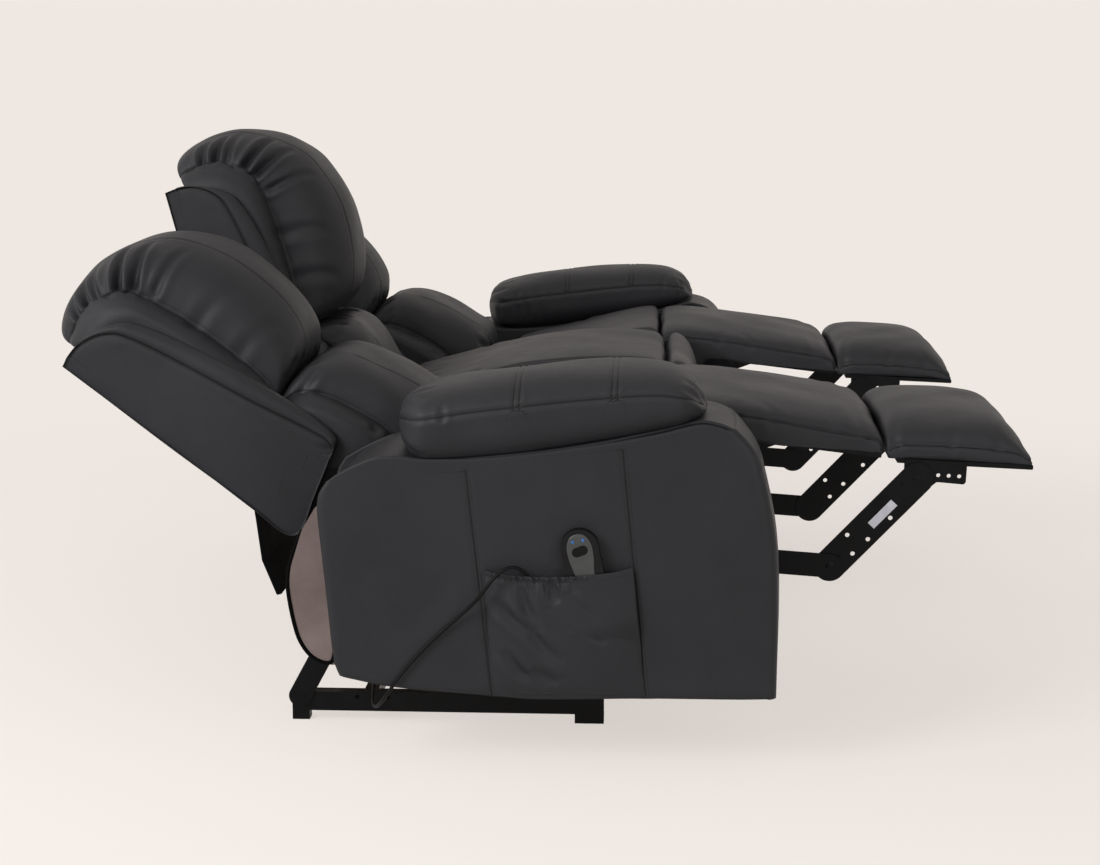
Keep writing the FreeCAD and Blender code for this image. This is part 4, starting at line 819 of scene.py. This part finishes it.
def makeArmPad(seat):
    side = seats[seat][0]
    middle, halfWide = (1035 + sofa["armInner"]) / 2, (1035 - sofa["armInner"]) / 2
    rear, front, ending = armPad["rear"], armPad["front"], armPad["endRound"]
    top, bottom = openCurve(armPad["top"], 400), openCurve(armPad["bottom"], 400)
    turns = np.linspace(0, math.pi / 2, 15)[1:]
    depths = np.concatenate([rear - ending * (1 - np.cos(turns)), np.linspace(rear - ending, front + ending, 84)[1:-1],
                             front + ending * (1 - np.cos(turns[::-1]))])
    angles = np.linspace(0, 2 * math.pi, 110, endpoint=False)
    grid = []
    for depth in depths:
        high = np.interp(-depth, -top[:, 0], top[:, 1])
        low = np.interp(-depth, -bottom[:, 0], bottom[:, 1])
        edge = min(rear - depth, depth - front) / ending
        wide = halfWide * (1 - (1 - min(edge * 1.15, 1)) ** 2.2) ** 0.5
        centre, half = (high + low) / 2, max((high - low) / 2, 0.5)
        power = 2 / armPad["power"]
        x = wide * np.sign(np.cos(angles)) * np.abs(np.cos(angles)) ** power
        z = half * np.sign(np.sin(angles)) * np.abs(np.sin(angles)) ** power
        grid.append(np.column_stack([side * (middle + x), np.full(len(angles), depth), centre + z]))
    form = {"grid": np.array(grid)}
    rows = form["grid"]

    def along(angle, first=2, last=-2):
        column = int(round(angle / (2 * math.pi) * len(angles))) % len(angles)
        return rows[first:last:2, column]

    def around(depth, start, end, count=24):
        row = int(np.argmin(abs(depths - depth)))
        columns = (np.linspace(start, end, count) / (2 * math.pi) * len(angles)).astype(int) % len(angles)
        return rows[row, columns]
    lift = armPad["seamLift"]
    seams = [(along(lift), 2.4, 3.2), (along(math.pi - lift), 2.4, 3.2)]
    for depth in armPad["crossSeams"]:
        for step in (-4.5, 4.5):
            seams.append((around(depth + step, lift, math.pi - lift), 1.3, 2.6))
    creases = [(around(548, lift, lift + 0.35), 3, 5, "out"), (around(548, math.pi - lift, math.pi - lift - 0.35), 3, 5, "out")]
    for number, angle in enumerate((0.5, 0.95, 1.5, 2.0, 2.6, 3.6, 5.4)):
        creases.append((along(angle, 99 + number % 3, 112), 4, 7, "both"))
        creases.append((along(angle + 0.3, 2, 14 + 2 * (number % 3)), 3.2, 8, "both"))
    innerSide = math.pi
    for number, depth in enumerate((596, 574, 556, 530, 500)):
        creases.append((around(depth, innerSide + 0.5, innerSide - 0.35 - 0.1 * (number % 3)), 5 - 0.6 * number, 8, "both"))
    for number, depth in enumerate((150, 166, 190)):
        creases.append((around(depth, innerSide + 0.1, innerSide - 0.7), 4 - number, 7, "both"))
    sculpt(form, creases, seams, (1.5, 80, 0.6 + side))
    piece = gridMesh(seat + "ArmPad", form)
    finish(piece, bodyOf(seat, "carriage"), "charcoal_leather", [seat + "_arm_pad"], 0.8)


for number, seat in enumerate(seats):
    makeHeadPillow(seat, 0.4 + number)
    makeLumbarPillow(seat, 1.9 + number)
    makeSeatCushion(seat, middleCushion if seat == "middle" else seatCushion, 2.6 + number)
    makeBackShell(seat, 0.9 + number)
print("pillows, seats and back shells")
makeFrontPanel()
for number, seat in enumerate(("right", "left")):
    makeChaisePad(seat, 0.2 + number)
    makeFootPad(seat, 1.1 + number)
    makeArmWall(seat)
    makeShoulder(seat)
    makeArmPad(seat)
print("footrests and arms")


# What repeats: thread stitches and rivet heads, placed by Geometry Nodes on the points of a path

stitching = {"pitch": 5.0, "length": 3.6, "width": 1.3, "offset": 3.6}
rivetHeight = 2.4


def scatterTree(name):
    tree = bpy.data.node_groups.new(name, "GeometryNodeTree")
    for label, kind, way in (("Path", "NodeSocketGeometry", "INPUT"), ("Length", "NodeSocketFloat", "INPUT"),
                             ("Width", "NodeSocketFloat", "INPUT"), ("Finish", "NodeSocketMaterial", "INPUT"),
                             ("Result", "NodeSocketGeometry", "OUTPUT")):
        tree.interface.new_socket(name=label, in_out=way, socket_type=kind)
    given = nodeIn(tree, "NodeGroupInput", (-800, 0))
    path = nodeIn(tree, "GeometryNodeMeshToCurve", (-600, 100))
    heading = nodeIn(tree, "GeometryNodeInputTangent", (-600, -150))
    turn = nodeIn(tree, "FunctionNodeAlignRotationToVector", (-400, -150), axis="Z")
    bead = nodeIn(tree, "GeometryNodeMeshUVSphere", (-600, -350), {"Segments": 6, "Rings": 4, "Radius": 0.5})
    size = nodeIn(tree, "ShaderNodeCombineXYZ", (-400, -350))
    place = nodeIn(tree, "GeometryNodeInstanceOnPoints", (-150, 0))
    real = nodeIn(tree, "GeometryNodeRealizeInstances", (50, 0))
    coat = nodeIn(tree, "GeometryNodeSetMaterial", (250, 0))
    out = nodeIn(tree, "NodeGroupOutput", (450, 0))
    for start, end in ((given.outputs["Path"], path.inputs["Mesh"]), (heading.outputs["Tangent"], turn.inputs["Vector"]),
                       (given.outputs["Width"], size.inputs["X"]), (given.outputs["Width"], size.inputs["Y"]),
                       (given.outputs["Length"], size.inputs["Z"]), (path.outputs["Curve"], place.inputs["Points"]),
                       (bead.outputs["Mesh"], place.inputs["Instance"]), (turn.outputs["Rotation"], place.inputs["Rotation"]),
                       (size.outputs["Vector"], place.inputs["Scale"]), (place.outputs["Instances"], real.inputs["Geometry"]),
                       (real.outputs["Geometry"], coat.inputs["Geometry"]), (given.outputs["Finish"], coat.inputs["Material"]),
                       (coat.outputs["Geometry"], out.inputs["Result"])):
        tree.links.new(start, end)
    return tree


def scatterAlong(name, paths, body, slotName, finishName, length, width):
    points, edges = [], []
    for path in paths:
        edges += [(len(points) + step, len(points) + step + 1) for step in range(len(path) - 1)]
        points += [tuple(spot(*point)) for point in path]
    mesh = bpy.data.meshes.new(name)
    mesh.from_pydata(points, edges, [])
    piece = linked(name, mesh)
    modifier = piece.modifiers.new("stitching", "NODES")
    modifier.node_group = scatterTree(name + "Nodes")
    values = {"Length": length / 1000, "Width": width / 1000, "Finish": materials[finishName]}
    for socket in modifier.node_group.interface.items_tree:
        if socket.in_out == "INPUT" and socket.name in values:
            modifier[socket.identifier] = values[socket.name]
    bakeModifiers(piece)
    finish(piece, body, slotName)


def spaced(path, pitch):
    path = np.asarray(path, float)
    run = np.concatenate([[0], np.cumsum(np.linalg.norm(np.diff(path, axis=0), axis=1))])
    picks = np.arange(pitch / 2, run[-1], pitch)
    return np.column_stack([np.interp(picks, run, path[:, axis]) for axis in range(3)])


def stitchRows(name, paths, body):
    scatterAlong(name, [spaced(path, stitching["pitch"]) for path in paths], body, "charcoal_leather", "thread",
                 stitching["length"], stitching["width"])


def smallPlate(name, points, faces, finishName):
    mesh = bpy.data.meshes.new(name)
    mesh.from_pydata(points, [], faces)
    work = bmesh.new()
    work.from_mesh(mesh)
    bmesh.ops.recalc_face_normals(work, faces=work.faces)
    work.to_mesh(mesh)
    work.free()
    mesh.materials.append(materials[finishName])
    return linked(name, mesh)


def makeTube(name, points, radius, finishName, body, slotName):
    curve = bpy.data.curves.new(name, "CURVE")
    curve.dimensions = "3D"
    curve.bevel_depth, curve.bevel_resolution, curve.resolution_u = radius / 1000, 3, 8
    curve.use_fill_caps = True
    line = curve.splines.new("NURBS")
    line.points.add(len(points) - 1)
    for point, place in zip(line.points, points):
        point.co = (*spot(*place), 1)
    line.order_u = 3
    line.use_endpoint_u = True
    curve.materials.append(materials[finishName])
    maker = linked(name + "Maker", curve)
    mesh = bpy.data.meshes.new_from_object(maker.evaluated_get(bpy.context.evaluated_depsgraph_get()))
    bpy.data.objects.remove(maker)
    mesh.name = name
    mesh.polygons.foreach_set("use_smooth", np.ones(len(mesh.polygons), bool))
    return finish(linked(name, mesh), body, slotName)


def makeArmStitches(seat):
    side = seats[seat][0]
    rows = []
    for start, end in armWall["seams"]:
        for offset in (-stitching["offset"], stitching["offset"]):
            rows.append([(side * (sofa["armOuter"] + 0.5), point[0] + offset, point[1]) for point in (start, end)])
    stitchRows(seat + "ArmStitches", rows, seat + "_carriage")
    edge = [(side * x, depth, height) for x, depth, height in
            ((861, 811, 371), (863, 829, 330), (865, 839, 282), (866, 835, 246), (866, 828, 208), (866, 819, 175),
             (866, 798, 145), (866, 767, 133), (866, 757, 148), (866, 757, 176))]
    makeTube(seat + "LinerPiping", edge, 3.6, "cloth", seat + "_carriage", "black_cover_cloth")


# Side pocket with its gathered hem, and the handset's face

sidePocket = {
    "low": ((217, 131), (472, 130)), "high": ((239, 350), (487, 341)), "sag": 10, "bulge": 23, "gathers": 27,
    "folds": ([(472, 296), (445, 269), (406, 239), (383, 213), (352, 188)], [(424, 318), (412, 277), (391, 239)],
              [(349, 310), (318, 262), (283, 220)], [(276, 328), (253, 292)], [(452, 209), (425, 171), (383, 141)],
              [(406, 179), (360, 149)], [(378, 326), (362, 290)], [(318, 322), (300, 292)]),
    "tucks": (455, 441, 428, 414, 400, 388, 371, 358, 342, 330, 309, 294, 281, 266, 254),
}
handsetFace = {
    "foot": (300, 257), "lean": 12, "out": 1033.3, "centre": (0, 108),
    "outline": [(-14, 64), (-16.5, 88), (-20.5, 112), (-20, 134), (-12, 149), (0, 153), (12, 149), (20, 134), (20.5, 112),
                (16.5, 88), (14, 64), (0, 61)],
    "rings": ((1.0, -0.2), (0.99, 0.8), (0.95, 1.2), (0.85, 1.3), (0.5, 1.35), (0.06, 1.4)),
    "arrows": (-8.5, 8.5), "arrowAt": 141,
}


def makeSidePocket():
    across, up = np.linspace(1, 0, 150)[None, :], np.linspace(0, 1, 120)[:, None]
    low, high = np.array(sidePocket["low"], float), np.array(sidePocket["high"], float)

    def between(axis):
        return ((low[0, axis] * (1 - across) + low[1, axis] * across) * (1 - up)
                + (high[0, axis] * (1 - across) + high[1, axis] * across) * up)
    depth = between(0)
    height = between(1) - sidePocket["sag"] * np.sin(np.pi * across) ** 0.8 * up
    crown = np.clip(1 - np.abs(2 * across - 1) ** 2.6, 0, 1) ** 0.6
    lift = np.sin(np.pi / 2 * up ** 0.5)
    below = (1 - up) * 212
    ruffle = 1.5 * np.sin(2 * np.pi * sidePocket["gathers"] * across + 1.8 * np.sin(11 * across)) * np.exp(-below / 17)
    band = 1.6 * np.exp(-((below - 2) / 4) ** 2) - 1.3 * np.exp(-((below - 10) / 2.6) ** 2)
    out = 1012.6 + (sidePocket["bulge"] + 0.6) * crown * lift + (ruffle + band) * np.minimum(crown * 2, 1)
    form = {"grid": np.stack([-out, depth, height], -1)}
    flat = form["grid"].reshape(-1, 3)

    def onPocket(path):
        return np.array([flat[np.argmin(((flat[:, 1:] - point) ** 2).sum(1))] for point in path])
    creases = [(onPocket(path), 6.5, 9, "both") for path in sidePocket["folds"]]
    for number, start in enumerate(sidePocket["tucks"]):
        reach = 14 + 9 * ((number * 5) % 4)
        tuck = [(start, 333), (start - 2 - reach * 0.12, 333 - reach * 0.5), (start - 4 - reach * 0.3, 333 - reach)]
        creases.append((onPocket(tuck), 3.2, 3.8, "out"))
    sculpt(form, creases, (), (0.7, 60, 2.4), wrapped=False)
    lean = math.radians(handsetFace["lean"])
    offset = form["grid"][..., 1:] - np.array(handsetFace["foot"])
    alongCase = offset[..., 0] * math.sin(lean) + offset[..., 1] * math.cos(lean)
    acrossCase = np.abs(offset[..., 0] * math.cos(lean) - offset[..., 1] * math.sin(lean))
    outside = np.hypot(np.maximum(acrossCase - 33, 0), np.maximum(-3 - alongCase, 0))
    form["grid"][..., 0] = np.minimum(form["grid"][..., 0], -(1036.9 - 24 * (1 - np.exp(-(outside / 44) ** 2))))
    piece = gridMesh("rightSidePocket", form, wrapped=False, poles=False)
    solid = piece.modifiers.new("clothThickness", "SOLIDIFY")
    solid.thickness, solid.offset = 0.0022, -1
    bakeModifiers(piece)
    finish(piece, "right_carriage", "charcoal_leather", ["right_side_pocket"])
    hem = [tuple(point + (-0.4, 0, 0)) for point in form["grid"][-6, 4:-4:3]]
    sides = [[(-1015.6, 214, 133), (-1015.6, 235, 346)], [(-1015.6, 475, 132), (-1015.6, 490, 338)]]
    stitchRows("rightPocketStitches", [hem] + sides, "right_carriage")


def makeHandsetFace():
    lean = math.radians(handsetFace["lean"])
    foot = np.array(handsetFace["foot"], float)
    outline = loopPoints(handsetFace["outline"], [6] * len(handsetFace["outline"]))
    centre = np.array(handsetFace["centre"], float)

    def onFace(points, out):
        points = np.asarray(points, float)
        depth = foot[0] + points[:, 1] * math.sin(lean) - points[:, 0] * math.cos(lean)
        height = foot[1] + points[:, 1] * math.cos(lean) + points[:, 0] * math.sin(lean)
        return np.column_stack([np.full(len(points), -handsetFace["out"] - out), depth, height])
    grid = np.array([onFace(centre + (outline - centre) * share, out) for share, out in handsetFace["rings"]])
    back = [onFace(centre + (outline - centre) * share, -0.6)[None] for share in (0.06, 0.98)]
    grid = np.concatenate(back + [grid])
    piece = gridMesh("handsetFaceplate", {"grid": grid}, material="faceplate")
    finish(piece, "right_carriage", "black_plastic")
    points, faces = [], []
    for across in handsetFace["arrows"]:
        tip = 3.6 if across > 0 else -3.6
        corners = [(across + tip, handsetFace["arrowAt"] + 1.5), (across - tip * 0.6, handsetFace["arrowAt"] + 3.2),
                   (across - tip * 0.3, handsetFace["arrowAt"] - 3.4)]
        for out in (0.9, 1.75):
            points += [tuple(spot(*point)) for point in onFace(corners, out)]
        first = len(points) - 6
        faces += [(first, first + 2, first + 1), (first + 3, first + 4, first + 5)]
        faces += [(first + k, first + (k + 1) % 3, first + 3 + (k + 1) % 3, first + 3 + k) for k in range(3)]
    finish(smallPlate("handsetArrows", points, faces, "mark"), "right_carriage", "black_plastic")


# Footrest links: a pressed rib, rivet heads and a bare sticker

legLink = {"knee": (-100.1, 298.8), "ankle": (-247.9, 455), "ribFrom": 0.1, "ribTo": 0.62, "ribWide": 8,
           "sticker": (57, 15), "stickerAt": 0.6,
           "outer": 253.5, "rivets": ((0.0, 0, 15, 3.5), (1.0, 0, 13, 0), (0.9, -12, 8, 0), (0.82, 10, 7, 0))}


def linkSpot(seat, share, across, out):
    side = seats[seat][0]
    a, b = np.array(legLink["knee"], float), np.array(legLink["ankle"], float)
    run = (b - a) / np.linalg.norm(b - a)
    point = a + (b - a) * share + across * np.array([-run[1], run[0]])
    return (side * (sofa["seatPitch"] + legLink["outer"] + out), *point)


def makeLinkDetails(seat):
    length = math.dist(legLink["knee"], legLink["ankle"])
    grid = []
    for share in np.linspace(legLink["ribFrom"], legLink["ribTo"], 40):
        edge = min(share - legLink["ribFrom"], legLink["ribTo"] - share) * length
        wide = legLink["ribWide"] * math.sqrt(max(0.02, min(1, edge / 8)))
        grid.append([linkSpot(seat, share, wide * math.cos(turn), 0.85 * math.sin(turn) - 0.4)
                     for turn in np.linspace(0, 2 * math.pi, 20, endpoint=False)])
    rib = gridMesh(seat + "LinkRib", {"grid": np.array(grid)}, material="steel")
    finish(rib, seat + "_upper_link", "black_steel")
    for number, (share, across, width, lift) in enumerate(legLink["rivets"]):
        path = [linkSpot(seat, share, across, lift), linkSpot(seat, share, across, lift + 0.1)]
        scatterAlong(seat + "LinkRivet%d" % number, [path], seat + "_upper_link", "black_steel", "steel", rivetHeight, width)
    if seat == "right":
        wide, high = legLink["sticker"]
        step = wide / 2 / length
        corners = [(legLink["stickerAt"] - step, -high / 2), (legLink["stickerAt"] + step, -high / 2),
                   (legLink["stickerAt"] + step, high / 2), (legLink["stickerAt"] - step, high / 2)]
        points = [linkSpot(seat, share, across + 1, out) for out in (2.0, 2.5) for share, across in corners]
        faces = [(0, 1, 2, 3), (7, 6, 5, 4)] + [(k, k + 4, (k + 1) % 4 + 4, (k + 1) % 4) for k in range(4)]
        sticker = smallPlate("bareSticker", [tuple(spot(*point)) for point in points], faces, "sticker")
        finish(sticker, seat + "_upper_link", "black_plastic")


for seat in ("right", "left"):
    makeArmStitches(seat)
    makeLinkDetails(seat)
makeSidePocket()
makeHandsetFace()
print("stitches, pocket and handset")


# Handset lead

lead = {
    "diameter": 0.006, "length": 0.77,
    "route": [(-1026, 300, 257), (-1026, 296.3, 239.4), (-1026, 306, 217), (-1026, 344, 212), (-1026, 375, 240),
              (-1026, 390, 280), (-1026, 400, 318), (-1029, 418, 345), (-1039, 440, 354), (-1045, 466, 336), (-1045, 486, 306),
              (-1030, 508, 280), (-1022, 540, 250), (-1022, 572, 220), (-1022, 602, 188), (-1022, 628, 156), (-1018, 650, 122),
              (-992, 668, 96), (-956, 680, 92), (-916, 683, 112), (-896, 680, 158), (-866, 680, 158)],
}


def makeLead():
    curve = bpy.data.curves.new("handsetLead", "CURVE")
    curve.dimensions = "3D"
    curve.bevel_depth, curve.bevel_resolution, curve.resolution_u = lead["diameter"] / 2, 4, 10
    curve.use_fill_caps = True
    line = curve.splines.new("NURBS")
    line.points.add(len(lead["route"]) - 1)
    for point, place in zip(line.points, lead["route"]):
        point.co = (*spot(*place), 1)
    line.order_u = 3
    line.use_endpoint_u = True
    curve.materials.append(materials["rubber"])
    piece = linked("handsetLead", curve)
    finish(piece, "right_carriage", "lead_rubber", ["right_handset_cord"])


makeLead()


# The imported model's own pieces keep their shape and get a finish

packedFinish = {"charcoal_leather": "plainLeather", "black_steel": "steel", "frame_wood": "wood", "beige_liner": "liner",
                "black_cover_cloth": "cloth", "black_plastic": "plastic", "rocker_rubber": "rubber", "lead_rubber": "rubber"}


def dressPacked():
    slots = {entry["node"]: entry["material_slot"] for entry in frame["record"]["subparts"]}
    for name, piece in cadNodes.items():
        chosen = packedFinish.get(slots.get(name), "steel")
        piece.data.materials.clear()
        piece.data.materials.append(materials[chosen])


dressPacked()
bpy.context.scene.view_settings.view_transform = "Standard"
print("handset lead and finishes")
